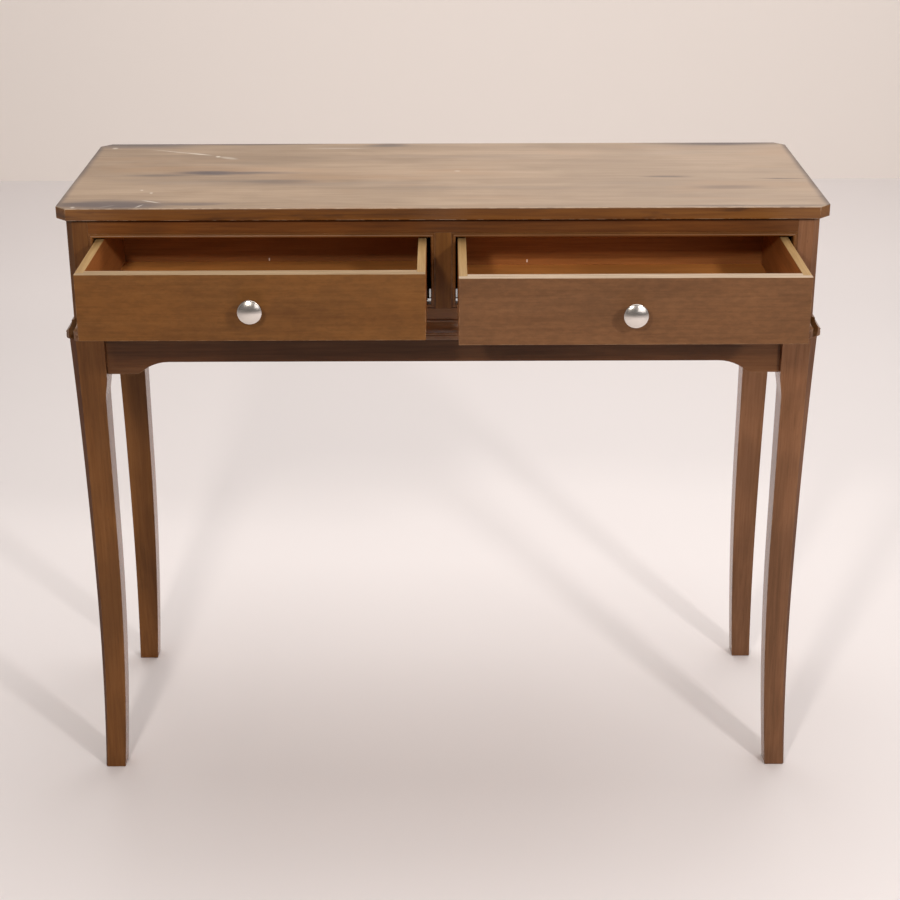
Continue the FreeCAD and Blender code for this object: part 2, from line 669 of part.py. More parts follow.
def corner_guides():
    """Nylon angles on the bottom rail behind the bead: a pad under the drawer side and a nib beside it."""
    guides = []
    places = []
    pad_top = "(sizes.bead_width + sizes.low_gap - sizes.glide_play)"
    gap = "(sizes.bead_width + sizes.side_gap - sizes.drawer_drift - sizes.glide_play)"
    wall = "(sizes.bead_width - sizes.glide_tuck)"
    length = f"({gap} + sizes.side_thickness)"
    for bay in (-1, 1):
        for hand in (-1, 1):
            turned = -hand
            body = pad(f"guide_{bay}_{hand}".replace("-", "m"), "XZ_Plane", [
                ("0", "0"),
                (f"{turned} * {length}", "0"),
                (f"{turned} * {length}", pad_top),
                (f"{turned} * {wall}", pad_top),
                (f"{turned} * {wall}", "sizes.glide_height - sizes.glide_nib"),
                (f"{turned} * {gap}", "sizes.glide_height - sizes.glide_nib"),
                (f"{turned} * {gap}", "sizes.glide_height"),
                ("0", "sizes.glide_height"),
            ], "sizes.glide_thickness")
            edge = f"({bay} * {BAY_X} + {hand} * {HOLE_HALF})"
            place(body, edge, FRAME_BACK, HOLE_LOW)
            guides.append(body)
            places.append((f"{edge} + {turned} * ({gap} + sizes.side_thickness / 2)",
                           f"{FRAME_BACK} - sizes.glide_thickness / 2",
                           f"{HOLE_LOW} + {pad_top}", DOWN))
    tacks, holes = screws_and_holes("guide_tack", places, "sizes.small_screw")
    bored = [carve(f"{body.Name}_bored", body, [hole]) for body, hole in zip(guides, holes)]
    keep("corner_guides", group("corner_guides", bored))
    keep("corner_guide_tacks", group("corner_guide_tacks", tacks))
    rail = box("bottom_rail_board", across, frame_depth, (WAIST_TOP, HOLE_LOW))
    keep("bottom_rail", carve("bottom_rail", rail, holes))


corner_guides()


# ---- kickers, battens and tracks, one of each over or under a drawer ----

track_screw_places = []
for side, sign in ENDS:
    off_web = "(sizes.track_foot + sizes.track_web) / 4"
    level = f"{TRACK_LOW} + sizes.head_height"
    track_screw_places.append((f"{hang(sign)} + {off_web}", f"{TRACK_FRONT} + sizes.track_screw_in",
                               level, DOWN))
    track_screw_places.append((f"{hang(sign)} - {off_web}", f"{TRACK_BACK} - sizes.track_screw_in",
                               level, DOWN))
track_screws, track_holes = screws_and_holes("track_screw", track_screw_places, "sizes.small_screw")
keep("track_screws", group("track_screws", track_screws))
dust_board = box("dust_board", across, inside_depth, (WAIST_TOP, DUST_TOP))
keep("dust_panel", carve("dust_panel", dust_board, track_holes))


def track_section():
    """Foot, web and head of the track, from the middle of its foot."""
    right = [("track_foot", "0"), ("track_foot", "sizes.track_sheet"),
             ("track_web", "sizes.track_sheet"), ("track_web", "sizes.track_height - sizes.track_sheet"),
             ("track_head", "sizes.track_height - sizes.track_sheet"), ("track_head", "sizes.track_height")]
    mirrored = [(f"-sizes.{half} / 2", level) for half, level in reversed(right)]
    return [(f"sizes.{half} / 2", level) for half, level in right] + mirrored


for side, sign in ENDS:
    centre = f"({sign} * {BAY_X})"
    width = (f"{centre} - sizes.kicker / 2", f"{centre} + sizes.kicker / 2")
    beam = box(side + "_kicker_board", width, inside_depth, (CLEAR_HIGH, TOP_LOW))
    first = 0 if sign < 0 else 2
    keep(side + "_kicker", carve(side + "_kicker", beam, top_screw_holes[first:first + 2]))

    width = (f"{hang(sign)} - sizes.batten_width / 2", f"{hang(sign)} + sizes.batten_width / 2")
    batten = box(side + "_batten_board", width, inside_depth, (DUST_TOP, TRACK_LOW))
    keep(side + "_track_batten", carve(side + "_track_batten", batten, track_holes[first:first + 2]))

    rail = pad(side + "_track_rail", "XZ_Plane", track_section(), f"{TRACK_BACK} - {TRACK_FRONT}",
               reverse=True)
    place(rail, hang(sign), TRACK_FRONT, TRACK_LOW)
    keep(side + "_track", carve(side + "_track", rail, track_holes[first:first + 2]))


# ---- beads round the drawer openings ----

def bead(side, sign):
    """Four mitred strips lining an opening: a groove beside the frame, then a half-round edge."""
    half_x, half_z = HOLE_HALF, f"(({HOLE_HIGH} - {HOLE_LOW}) / 2)"
    path = [("0", f"-{half_z}"), (half_x, f"-{half_z}"), (half_x, half_z),
            (f"-{half_x}", half_z), (f"-{half_x}", f"-{half_z}")]
    shoulder = "(sizes.bead_stand - sizes.bead_radius)"
    clear = f"(-{half_z} + sizes.bead_width)"
    section = [
        (f"-{half_z}", "-sizes.bead_depth"),
        (clear, "-sizes.bead_depth"),
        (clear, shoulder, "sizes.bead_radius", 1),
        (f"{clear} - sizes.bead_radius", "sizes.bead_stand", "sizes.bead_radius", 1),
        (f"{clear} - 2 * sizes.bead_radius", shoulder),
        (f"{clear} - 2 * sizes.bead_radius", "-sizes.bead_groove"),
        (f"-{half_z}", "-sizes.bead_groove"),
    ]
    frame = doc.addObject("PartDesign::Body", side + "_bead_frame")
    carry(frame, "PartDesign::AdditivePipe", path, section)
    centre = (f"{sign} * {BAY_X}", f"-{CASE_Y}", f"({HOLE_LOW} + {HOLE_HIGH}) / 2")
    place(frame, *centre, TO_FRONT)
    out_x, out_z = f"({half_x} + {PAST})", f"({half_z} + {PAST})"
    strips = []
    for name, corners in (
        ("bottom", [(f"-{out_x}", f"-{out_z}"), (out_x, f"-{out_z}"),
                    (f"{out_x} - {out_z}", "0"), (f"{out_z} - {out_x}", "0")]),
        ("top", [(f"-{out_x}", out_z), (f"{out_z} - {out_x}", "0"),
                 (f"{out_x} - {out_z}", "0"), (out_x, out_z)]),
        ("left", [(f"-{out_x}", f"-{out_z}"), (f"{out_z} - {out_x}", "0"), (f"-{out_x}", out_z)]),
        ("right", [(out_x, f"-{out_z}"), (out_x, out_z), (f"{out_x} - {out_z}", "0")]),
    ):
        sector = pad(f"{side}_bead_{name}_sector", "XY_Plane", corners,
                     "2 * (sizes.bead_depth + sizes.bead_stand)", midplane=True)
        place(sector, *centre, TO_FRONT)
        strips.append(combine("Part::MultiCommon", f"{side}_bead_{name}", [frame, sector]))
    keep(side + "_opening_bead", group(side + "_opening_bead", strips))


for side, sign in ENDS:
    bead(side, sign)


# ---- drawers ----

def knob_profile():
    """Half of the knob's section: foot, hollow neck, rim and dome; x is the radius."""
    rim = "(sizes.knob_diameter / 2)"
    rim_top = "(sizes.knob_reach - sizes.knob_dome)"
    rim_low = f"({rim_top} - sizes.knob_rim)"
    bore = "(sizes.knob_thread + sizes.screw_play)"
    return [
        (bore, "0"),
        ("sizes.knob_foot", "0"),
        ("sizes.knob_foot", "sizes.knob_rim"),
        ("sizes.knob_waist", "sizes.knob_collar", "sizes.knob_hollow", -1),
        (f"{rim} - sizes.knob_rim", f"{rim_low} - sizes.knob_rim"),
        (rim, rim_low),
        (rim, f"{rim_top} - sizes.knob_rim / 4"),
        (f"{rim} - sizes.knob_rim / 2", rim_top,
         f"(({rim} - sizes.knob_rim / 2)^2 + sizes.knob_dome^2) / (2 * sizes.knob_dome)", 1),
        ("0", "sizes.knob_reach"),
        ("0", "sizes.knob_bore"),
        (bore, "sizes.knob_bore"),
    ]


def turned_piece(name, profile):
    """A body turned about its own Z from a half section."""
    body = doc.addObject("PartDesign::Body", name)
    sketch = outline(start_sketch(body, "XZ_Plane", name + "_section"), profile)
    doc.recompute()
    turning = body.newObject("PartDesign::Revolution", name + "_turning")
    turning.Profile = sketch
    turning.ReferenceAxis = (sketch, ["V_Axis"])
    turning.Angle = 360
    return body


def drawer(side, sign, out):
    """One drawer: lapped front, two sides, back, bottom in grooves, knob and rear guide."""
    centre = hang(sign)
    face = f"(-{CASE_Y} - {out})"
    front_back = f"({face} + sizes.front_thickness)"
    lap = f"({front_back} - sizes.lap_depth)"
    end = f"({face} + {DRAWER_LONG})"
    high = f"({DRAWER_LOW} + {DRAWER_TALL})"
    inner = f"({DRAWER_HALF} - sizes.side_thickness)"
    groove = (f"{FLOOR_LOW}", f"{FLOOR_LOW} + sizes.floor_thickness + sizes.groove_play")
    groove_half = f"({inner} + sizes.groove_depth)"
    level = (DRAWER_LOW, high)

    def about(half_low, half_high, hand):
        """A span on one hand of the drawer's centre line."""
        if hand > 0:
            return (f"{centre} + ({half_low})", f"{centre} + ({half_high})")
        return (f"{centre} - ({half_high})", f"{centre} - ({half_low})")

    # knob, its screw and the hole for it
    knob_level = f"({DRAWER_LOW} + {DRAWER_TALL} / 2)"
    knob = turned_piece(side + "_knob_turning", knob_profile())
    keep(side + "_drawer_knob", place(knob, centre, face, knob_level, TO_FRONT))
    shank = doc.addObject("Part::Cylinder", side + "_knob_shank")
    bore = doc.addObject("Part::Cylinder", side + "_knob_bore")
    for item, play in ((shank, "0"), (bore, "sizes.screw_play")):
        item.setExpression("Radius", f"sizes.knob_thread + {play}")
        item.setExpression("Height", "sizes.front_thickness + sizes.knob_bore - sizes.bore_rest")
        place(item, centre, front_back, knob_level, TO_FRONT)
    head = doc.addObject("Part::Cylinder", side + "_knob_screw_head")
    head.setExpression("Radius", "2 * sizes.knob_thread")
    head.setExpression("Height", "sizes.head_height")
    place(head, centre, front_back, knob_level, TO_BACK)
    keep(side + "_knob_screw", combine("Part::MultiFuse", side + "_knob_screw", [shank, head]))

    # front
    board = eased_board(side + "_front_board", (f"{centre} - {DRAWER_HALF}", f"{centre} + {DRAWER_HALF}"),
                        (face, front_back), level)
    past_level = (f"{DRAWER_LOW} - {PAST}", f"{high} + {PAST}")
    laps = [box(f"{side}_{name}_lap", about(inner, f"{DRAWER_HALF} + {PAST}", hand),
                (lap, f"{front_back} + {PAST}"), past_level) for name, hand in ENDS]
    slot = box(side + "_front_groove", (f"{centre} - {groove_half}", f"{centre} + {groove_half}"),
               (f"{front_back} - sizes.groove_depth", f"{front_back} + {PAST}"), groove)
    keep(side + "_drawer_front", carve(side + "_drawer_front", board, laps + [slot, bore]))

    # sides
    for name, hand in ENDS:
        node = f"{side}_drawer_{name}_side"
        wall = eased_board(node + "_board", about(inner, DRAWER_HALF, hand), (lap, end), level, runs_back)
        slot = box(node + "_groove", about(f"{inner} - {PAST}", groove_half, hand),
                   (f"{lap} - {PAST}", f"{end} + {PAST}"), groove)
        keep(node, carve(node, wall, [slot]))

    # back and bottom, and the screws of the rear guide, up from its lower face
    rear = f"({end} - sizes.back_inset)"
    keep(side + "_drawer_back", box(side + "_back_board", (f"{centre} - {inner}", f"{centre} + {inner}"),
                                    (f"{rear} - sizes.side_thickness", rear), (groove[1], high)))
    guide_back = f"({rear} - sizes.side_thickness)"
    lips = "(sizes.track_height - sizes.track_sheet - sizes.guide_play)"
    low = f"({lips} - sizes.guide_wrap)"
    places = [(f"{centre} + {hand} * (sizes.guide_width / 2 - sizes.guide_screw_in)",
               f"{guide_back} - sizes.guide_length / 2", f"{TRACK_LOW} + {low}", UP) for hand in (-1, 1)]
    screws, holes = screws_and_holes(side + "_rear_guide_screw", places, "sizes.guide_screw")
    keep(side + "_rear_guide_screws", group(side + "_rear_guide_screws", screws))
    floor_half = f"({groove_half} - sizes.groove_play)"
    floor = box(side + "_floor_board", (f"{centre} - {floor_half}", f"{centre} + {floor_half}"),
                (f"{front_back} - sizes.groove_depth + sizes.groove_play", rear),
                (FLOOR_LOW, f"{FLOOR_LOW} + sizes.floor_thickness"))
    keep(side + "_drawer_bottom", carve(side + "_drawer_bottom", floor, holes))

    # rear guide: a nylon block that wraps the head of the track
    head_half = "(sizes.track_head / 2 + sizes.guide_play)"
    web_half = "(sizes.track_web / 2 + sizes.guide_play)"
    roof = "(sizes.track_height + sizes.guide_play)"
    tall = f"({FLOOR_LOW} - {TRACK_LOW})"
    half = "(sizes.guide_width / 2)"
    block = pad(side + "_rear_guide_block", "XZ_Plane", [
        (web_half, low), (half, low), (half, tall), (f"-{half}", tall), (f"-{half}", low),
        (f"-{web_half}", low), (f"-{web_half}", lips), (f"-{head_half}", lips), (f"-{head_half}", roof),
        (head_half, roof), (head_half, lips), (web_half, lips),
    ], "sizes.guide_length")
    place(block, centre, guide_back, TRACK_LOW)
    keep(side + "_rear_guide", carve(side + "_rear_guide", block, holes))


drawer("left", -1, "sizes.left_open")
drawer("right", 1, "sizes.right_open")


# ---- check and write ----

doc.recompute()
for item in doc.Objects:
    if "Invalid" in item.State or "Error" in item.State:
        raise RuntimeError(f"{item.Name} ({item.Label}) failed: {item.State}")
for node, item in parts.items():
    if item.Shape.isNull() or not item.Shape.isValid() or not item.Shape.Solids:
        raise RuntimeError(f"{node} has no valid solid")

os.makedirs("parts", exist_ok=True)
for node, item in parts.items():
    item.Shape.exportStep(f"parts/{node}.step")
print(len(parts), "sub-parts written")
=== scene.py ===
import math

import bmesh
import bpy
import numpy as np
from mathutils import Matrix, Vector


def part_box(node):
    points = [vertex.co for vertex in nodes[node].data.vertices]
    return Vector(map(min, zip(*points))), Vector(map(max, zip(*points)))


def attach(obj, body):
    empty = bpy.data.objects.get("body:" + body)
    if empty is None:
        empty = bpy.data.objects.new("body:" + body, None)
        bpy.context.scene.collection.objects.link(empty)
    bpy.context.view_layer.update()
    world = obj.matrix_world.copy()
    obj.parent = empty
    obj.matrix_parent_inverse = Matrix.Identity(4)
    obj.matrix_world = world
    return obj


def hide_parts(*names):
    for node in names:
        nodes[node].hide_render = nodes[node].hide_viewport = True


# Console table: a worn brown stain over close-grained wood, drawers of thin orange-brown boards
# with bare top edges, and satin nickel knobs. Lengths are in metres unless a name or a comment says
# otherwise.

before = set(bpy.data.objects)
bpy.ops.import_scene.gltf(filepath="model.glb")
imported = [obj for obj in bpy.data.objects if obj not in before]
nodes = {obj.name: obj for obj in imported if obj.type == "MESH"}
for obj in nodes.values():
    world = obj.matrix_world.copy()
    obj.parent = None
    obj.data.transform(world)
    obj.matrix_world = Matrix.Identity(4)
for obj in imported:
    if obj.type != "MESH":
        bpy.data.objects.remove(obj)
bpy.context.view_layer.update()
scene = bpy.context.scene
scene.view_settings.view_transform = "Standard"

MM = 0.001
SIDES = ("left", "right")
ENDS = (("front", -1), ("rear", 1))


def box(node):
    """Lowest and highest corner of a CAD node, as arrays."""
    low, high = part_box(node)
    return np.array(low), np.array(high)


TOP_LOW, TOP_HIGH = box("table_top")
MIDDLE = (TOP_LOW + TOP_HIGH) / 2


# ---- camera, floor and light ----

def add_camera():
    """Stands in front of the table and a little above it, and looks down at it. Its angles are in
    radians."""
    pitch, yaw, roll = 0.38745, 0.0023, -0.00249
    aside, distance, height = 0.0029, 2.5301, 1.4629
    ahead = np.array([math.sin(yaw) * math.cos(pitch), math.cos(yaw) * math.cos(pitch),
                      -math.sin(pitch)])
    level = np.array([math.cos(yaw), -math.sin(yaw), 0])
    upward = np.cross(level, ahead)
    right = math.cos(roll) * level + math.sin(roll) * upward
    up = math.cos(roll) * upward - math.sin(roll) * level
    data = bpy.data.cameras.new("camera")
    data.sensor_width = 36
    data.lens = 73.714
    camera = bpy.data.objects.new("camera", data)
    place = (MIDDLE[0] + aside, MIDDLE[1] - distance, height)
    camera.matrix_world = Matrix([(*right, 0), (*up, 0), (*-ahead, 0), (*place, 1)]).transposed()
    scene.collection.objects.link(camera)
    scene.camera = camera


def plain_sheet(name, corners, colour, glow=0.0):
    """A flat stage piece in one pale paint."""
    mesh = bpy.data.meshes.new(name)
    mesh.from_pydata(corners, [], [(0, 1, 2, 3)])
    sheet = bpy.data.objects.new(name, mesh)
    scene.collection.objects.link(sheet)
    material = bpy.data.materials.new(name + "_paint")
    material.use_nodes = True
    shader = material.node_tree.nodes["Principled BSDF"]
    shader.inputs["Base Color"].default_value = (*colour, 1)
    shader.inputs["Roughness"].default_value = 0.7
    shader.inputs["Emission Color"].default_value = (*colour, 1)
    shader.inputs["Emission Strength"].default_value = glow
    mesh.materials.append(material)


def add_stage():
    """A pale floor, and a pale backdrop some way behind the table."""
    side, front, back, high = 9, MIDDLE[1] - 9, MIDDLE[1] + 3.4, 5
    floor = [(-side, front, 0), (side, front, 0), (side, back, 0), (-side, back, 0)]
    backdrop = [(-side, back, 0), (side, back, 0), (side, back, high), (-side, back, high)]
    plain_sheet("floor", floor, (0.835, 0.795, 0.79))
    plain_sheet("backdrop", backdrop, (0.73, 0.665, 0.62), glow=0.21)


def add_light(name, place, aim, size, power, colour):
    """A soft square lamp at a place, turned to a point."""
    data = bpy.data.lights.new(name, "AREA")
    data.size, data.energy, data.color = size, power, colour
    lamp = bpy.data.objects.new(name, data)
    away = np.array(place, float) - np.array(aim, float)
    away /= np.linalg.norm(away)
    upward = np.cross(away, (1, 0, 0))
    upward /= np.linalg.norm(upward)
    rows = [(*np.cross(upward, away), 0), (*upward, 0), (*away, 0), (*place, 1)]
    lamp.matrix_world = Matrix(rows).transposed()
    scene.collection.objects.link(lamp)


def add_lights():
    """Two small lamps in front, one each side and a little above, a faint broad one behind the
    right lamp, a wide soft one overhead, and pale surroundings."""
    world = bpy.data.worlds.new("studio")
    world.use_nodes = True
    scene.world = world
    background = world.node_tree.nodes["Background"]
    background.inputs["Color"].default_value = (0.80, 0.75, 0.72, 1)
    background.inputs["Strength"].default_value = 0.24
    x, y = MIDDLE[:2]
    add_light("right_lamp", (x + 1.5, y - 2.35, 2.02), (x, y, 0.8), 0.2, 28, (1.0, 0.95, 0.92))
    add_light("left_lamp", (x - 0.6, y - 2.5, 1.93), (x, y, 0.8), 0.2, 26, (1.0, 0.93, 0.87))
    add_light("right_panel", (x + 1.7, y - 2.8, 1.8), (x, y, 0.75), 1.8, 15, (1.0, 0.97, 0.97))
    add_light("overhead_lamp", (x + 0.4, y + 0.9, 3.3), (x + 0.4, y + 0.9, 0), 3.4, 91,
              (1.0, 0.97, 0.95))


add_camera()
add_stage()
add_lights()


# ---- materials ----

TONE_STOPS = (0.36, 0.5, 0.64)
LINE_STOPS = (0.35, 0.65)


class Recipe:
    """A material and the nodes in it, added one call at a time."""

    def __init__(self, name):
        self.material = bpy.data.materials.new(name)
        self.material.use_nodes = True
        self.tree = self.material.node_tree
        self.shader = self.tree.nodes["Principled BSDF"]
        self.place = self.add("TexCoord", output="Object")
        self.axes = {}

    def add(self, kind, inputs=None, output=0, **settings):
        """A node with its settings, its inputs set or joined, and the output that is wanted."""
        node = self.tree.nodes.new("ShaderNode" + kind)
        for key, value in settings.items():
            setattr(node, key, value)
        for key, value in (inputs or {}).items():
            self.put(node.inputs[key], value)
        return node.outputs[output]

    def put(self, socket, value):
        """Joins an output to a socket, or sets the socket's own value."""
        if isinstance(value, bpy.types.NodeSocket):
            self.tree.links.new(value, socket)
        else:
            socket.default_value = value

    def math(self, operation, first, second=0.0, third=0.0):
        """One sum on up to three values."""
        return self.add("Math", {0: first, 1: second, 2: third}, operation=operation)

    def fade(self, value, low, high, start=0.0, end=1.0):
        """A smooth step from start at low to end at high."""
        inputs = {"Value": value, "From Min": low, "From Max": high, "To Min": start, "To Max": end}
        return self.add("MapRange", inputs, interpolation_type="SMOOTHSTEP")

    def mix(self, share, first, second, blend="MIX"):
        """One colour over another."""
        first, second = [(*colour, 1) if isinstance(colour, tuple) and len(colour) == 3 else colour
                         for colour in (first, second)]
        inputs = {0: share, 6: first, 7: second}
        return self.add("Mix", inputs, output=2, data_type="RGBA", blend_type=blend)

    def ramp(self, value, stops, colours):
        """A colour for each stop along a value."""
        socket = self.add("ValToRGB", {0: value})
        ramp = socket.node.color_ramp
        while len(ramp.elements) < len(stops):
            ramp.elements.new(1)
        for element, position, colour in zip(ramp.elements, stops, colours):
            element.position = position
            element.color = (*colour, 1)
        return socket

    def shade(self, colour, factor):
        """A colour made darker or lighter by a factor."""
        grey = self.add("CombineColor", {0: factor, 1: factor, 2: factor})
        return self.mix(1.0, colour, grey, "MULTIPLY")

    def noise(self, scales, shift=(0, 0, 0), detail=3.0, rough=0.55, distortion=0.0):
        """Noise over the object's coordinates, drawn out by its scales and moved by its shift."""
        vector = self.add("Mapping", {"Vector": self.place, "Scale": scales, "Location": shift})
        inputs = {"Vector": vector, "Scale": 1.0, "Detail": detail, "Roughness": rough,
                  "Distortion": distortion}
        return self.add("TexNoise", inputs)

    def axis(self, name):
        """One of the object's own coordinates."""
        if not self.axes:
            node = self.add("SeparateXYZ", {0: self.place}).node
            self.axes = {key: node.outputs[key] for key in "XYZ"}
        return self.axes[name]

    def distance(self, name, place):
        """How far one of the object's own coordinates is from a place."""
        return self.math("ABSOLUTE", self.math("SUBTRACT", self.axis(name), place))

    def near_edges(self, low, high, width):
        """1 along the edges of a box, 0 a width away: read from the second smallest distance to one
        of its faces."""
        gaps = []
        for name, start, end in zip("XYZ", low, high):
            away = self.distance(name, float(start + end) / 2)
            gaps.append(self.math("SUBTRACT", float(end - start) / 2, away))
        least = self.math("MINIMUM", gaps[0], gaps[1])
        most = self.math("MAXIMUM", gaps[0], gaps[1])
        second = self.math("MAXIMUM", least, self.math("MINIMUM", most, gaps[2]))
        return self.fade(second, 0.0, width, 1.0, 0.0)

    def mark(self, vector, x, y, long, wide, turn=0.0, strength=1.0):
        """An ellipse on the top, strongest in its middle. Sizes are half lengths in millimetres."""
        centre = (MIDDLE[0] + x * MM, MIDDLE[1] + y * MM, TOP_HIGH[2])
        inputs = {"Vector": vector, "Location": centre, "Rotation": (0, 0, turn),
                  "Scale": (long * MM, wide * MM, 1.0)}
        inside = self.add("Mapping", inputs, vector_type="TEXTURE")
        away = self.add("VectorMath", {0: inside}, output="Value", operation="LENGTH")
        return self.fade(away, 0.25, 1.0, strength, 0.0)

    def marks(self, vector, places):
        """The strongest of several marks."""
        total = self.mark(vector, *places[0])
        for place in places[1:]:
            total = self.math("MAXIMUM", total, self.mark(vector, *place))
        return total

    def finish(self, colour, rough, height=None, strength=0.3, reach=0.0003, **fixed):
        """Joins colour, roughness and bump to the shader; the rest are set on its own sockets."""
        self.put(self.shader.inputs["Base Color"], colour)
        self.put(self.shader.inputs["Roughness"], rough)
        if height is not None:
            bump = self.add("Bump", {"Height": height, "Strength": strength, "Distance": reach})
            self.put(self.shader.inputs["Normal"], bump)
        for key, value in fixed.items():
            self.shader.inputs[key.replace("_", " ")].default_value = value
        return self.material


def along(grain, run, across):
    """Scales that draw a pattern out along the grain."""
    scales = [across, across, across]
    scales["XYZ".index(grain)] = run
    return scales


class Wood:
    """Close-grained wood under a stain that takes unevenly. Its colour comes from broad bands and
    fine lines along the grain, soft blots, and dark pores. Its roughness and bump follow the same
    patterns."""

    def __init__(self, name, grain, shift, tones, blot=0.22, pore=0.45):
        self.recipe = r = Recipe(name)
        self.shift = shift
        self.bands = r.noise(along(grain, 1.8, 26), shift, 4, 0.6, 0.5)
        self.lines = r.noise(along(grain, 11, 330), shift, 3, 0.6, 0.2)
        pores = r.noise(along(grain, 75, 1700), shift, 2, 0.5)
        self.blots = r.noise(along(grain, 5, 11), shift, 3, 0.55, 0.3)
        line_share = 0.42
        self.shares = r.math("MULTIPLY_ADD", self.lines, line_share,
                             r.math("MULTIPLY", self.bands, 1 - line_share))
        colour = r.ramp(self.shares, TONE_STOPS, tones)
        colour = r.shade(colour, r.fade(self.blots, TONE_STOPS[0], TONE_STOPS[2],
                                        1 - blot, 1 + blot * 0.4))
        dash = r.fade(pores, 0.62, 0.74, 0.0, pore)
        self.colour = r.mix(dash, colour, tuple(tone * 0.45 for tone in tones[0]))
        self.rough = r.fade(self.blots, 0.3, 0.7, 0.5, 0.4)
        self.height = r.math("SUBTRACT", r.math("MULTIPLY", self.lines, 0.7), dash)

    def wear(self, mask, colour, amount, scale=60):
        """The finish rubbed thin in a broken line where mask is 1."""
        r = self.recipe
        broken = r.fade(r.noise((scale, scale, scale), self.shift, 3, 0.6), 0.42, 0.62)
        share = r.math("MULTIPLY", r.math("MULTIPLY", mask, broken), amount)
        self.colour = r.mix(share, self.colour, colour)
        self.rough = r.math("MULTIPLY_ADD", share, 0.15, self.rough)

    def rubbed_edge(self):
        """The attribute that this script gives to the eased edges of its own pieces."""
        return self.recipe.add("Attribute", output="Fac", attribute_name="eased_edge")

    def shaded_cant(self, depth):
        """Painted shade: canted corners, turned away from the lamps, are made darker than the faces
        beside them.
        """
        r = self.recipe
        canted = r.add("Attribute", output="Fac", attribute_name="canted_corner")
        self.colour = r.mix(r.math("MULTIPLY", canted, depth), self.colour, (0.062, 0.014, 0.003))

    def shadow_line(self, level):
        """Painted shade in the angle under the top: darker above a level."""
        r = self.recipe
        deepening = r.fade(r.axis("Z"), level - 1.2 * MM, level + 1.0 * MM, 1.0, 0.35)
        self.colour = r.shade(self.colour, deepening)

    def lined(self, dark, light):
        """Two tones that follow the fine lines."""
        return self.recipe.ramp(self.lines, LINE_STOPS, (dark, light))

    def sheen(self):
        """The finish shines where it is seen at a low angle."""
        r = self.recipe
        facing = r.add("LayerWeight", {"Blend": 0.5}, output="Facing")
        r.put(r.shader.inputs["Coat Weight"], r.fade(facing, 0.66, 0.88, 0.0, 0.9))
        r.shader.inputs["Coat Roughness"].default_value = 0.22
        r.shader.inputs["Coat Tint"].default_value = (1.0, 0.84, 0.77, 1)

    def finish(self, strength=0.25, reach=0.0002, **fixed):
        """The material, with the gloss of a thin finish unless told otherwise."""
        fixed.setdefault("Specular_IOR_Level", 0.22)
        return self.recipe.finish(self.colour, self.rough, self.height, strength, reach, **fixed)


WARM_BROWN = ((0.104, 0.037, 0.0075), (0.146, 0.055, 0.012), (0.182, 0.073, 0.019))
DEEP_BROWN = ((0.090, 0.028, 0.005), (0.132, 0.044, 0.008), (0.170, 0.062, 0.013))
STILE_BROWN = ((0.122, 0.042, 0.006), (0.170, 0.064, 0.010), (0.212, 0.084, 0.015))
# Painted shade: the aprons' tones are darker, for the shade of the drawers above them.
SHADED_BROWN = ((0.062, 0.023, 0.007), (0.090, 0.036, 0.012), (0.115, 0.050, 0.019))
# Painted sheen: the right legs and posts are lighter and pinker, for the reflection they catch from
# the right.
SHEENED_BROWN = ((0.140, 0.060, 0.024), (0.190, 0.084, 0.037), (0.232, 0.107, 0.050))
WARM_FRONT = ((0.129, 0.0485, 0.0095), (0.153, 0.060, 0.0125), (0.175, 0.0715, 0.016))
ROSY_FRONT = ((0.128, 0.055, 0.021), (0.151, 0.067, 0.026), (0.174, 0.079, 0.032))
FADED_TOP = ((0.222, 0.137, 0.070), (0.308, 0.199, 0.112), (0.384, 0.262, 0.158))
TOP_EDGE = ((0.086, 0.029, 0.004), (0.150, 0.054, 0.007), (0.204, 0.081, 0.013))
DRAWER_ORANGE = ((0.255, 0.092, 0.023), (0.34, 0.126, 0.034), (0.40, 0.155, 0.045))
# Painted highlight: the beads, and the bottom rail that shares their finish, are a lighter brown
# for the light their rounds catch.
HIGHLIT_BEAD_BROWN = ((0.120, 0.044, 0.010), (0.175, 0.069, 0.017), (0.220, 0.092, 0.025))
RUBBED = (0.34, 0.20, 0.10)


def brown_wood(name, grain, shift, tones=WARM_BROWN, glaze_and_shade=0.0, lit_below=None):
    """Brown stain, a little rubbed along its eased edges, with painted shade where it meets the
    top. A share says how dark the painted shade on its canted corners is. Below a given level it is
    made lighter, painted light below the shadow that the drawers cast."""
    wood = Wood(name, grain, shift, tones)
    wood.wear(wood.rubbed_edge(), RUBBED, 0.45)
    wood.shadow_line(TOP_LOW[2] - 4 * MM)
    if glaze_and_shade:
        wood.shaded_cant(glaze_and_shade)
    if lit_below:
        r = wood.recipe
        # Painted light: below the level the colour is made lighter, where the lamps reach past the
        # shadow of the drawers.
        blend, lit_share, lighter = 5 * MM, 0.75, 1.5
        thin = r.fade(r.axis("Z"), lit_below - blend, lit_below + blend, lit_share, 0.0)
        wood.colour = r.mix(thin, wood.colour, r.shade(wood.colour, lighter))
    wood.sheen()
    return wood.finish()


def glossy_wood(name, grain, shift, tones=WARM_BROWN, gloss=0.35):
    """Brown stain under more lacquer, for the mouldings and beads."""
    wood = Wood(name, grain, shift, tones, 0.2)
    wood.wear(wood.rubbed_edge(), RUBBED, 0.6)
    wood.rough = wood.recipe.math("SUBTRACT", wood.rough, 0.12)
    return wood.finish(0.15, Specular_IOR_Level=0.2 + 0.7 * gloss, Coat_Weight=gloss,
                       Coat_Roughness=0.3)


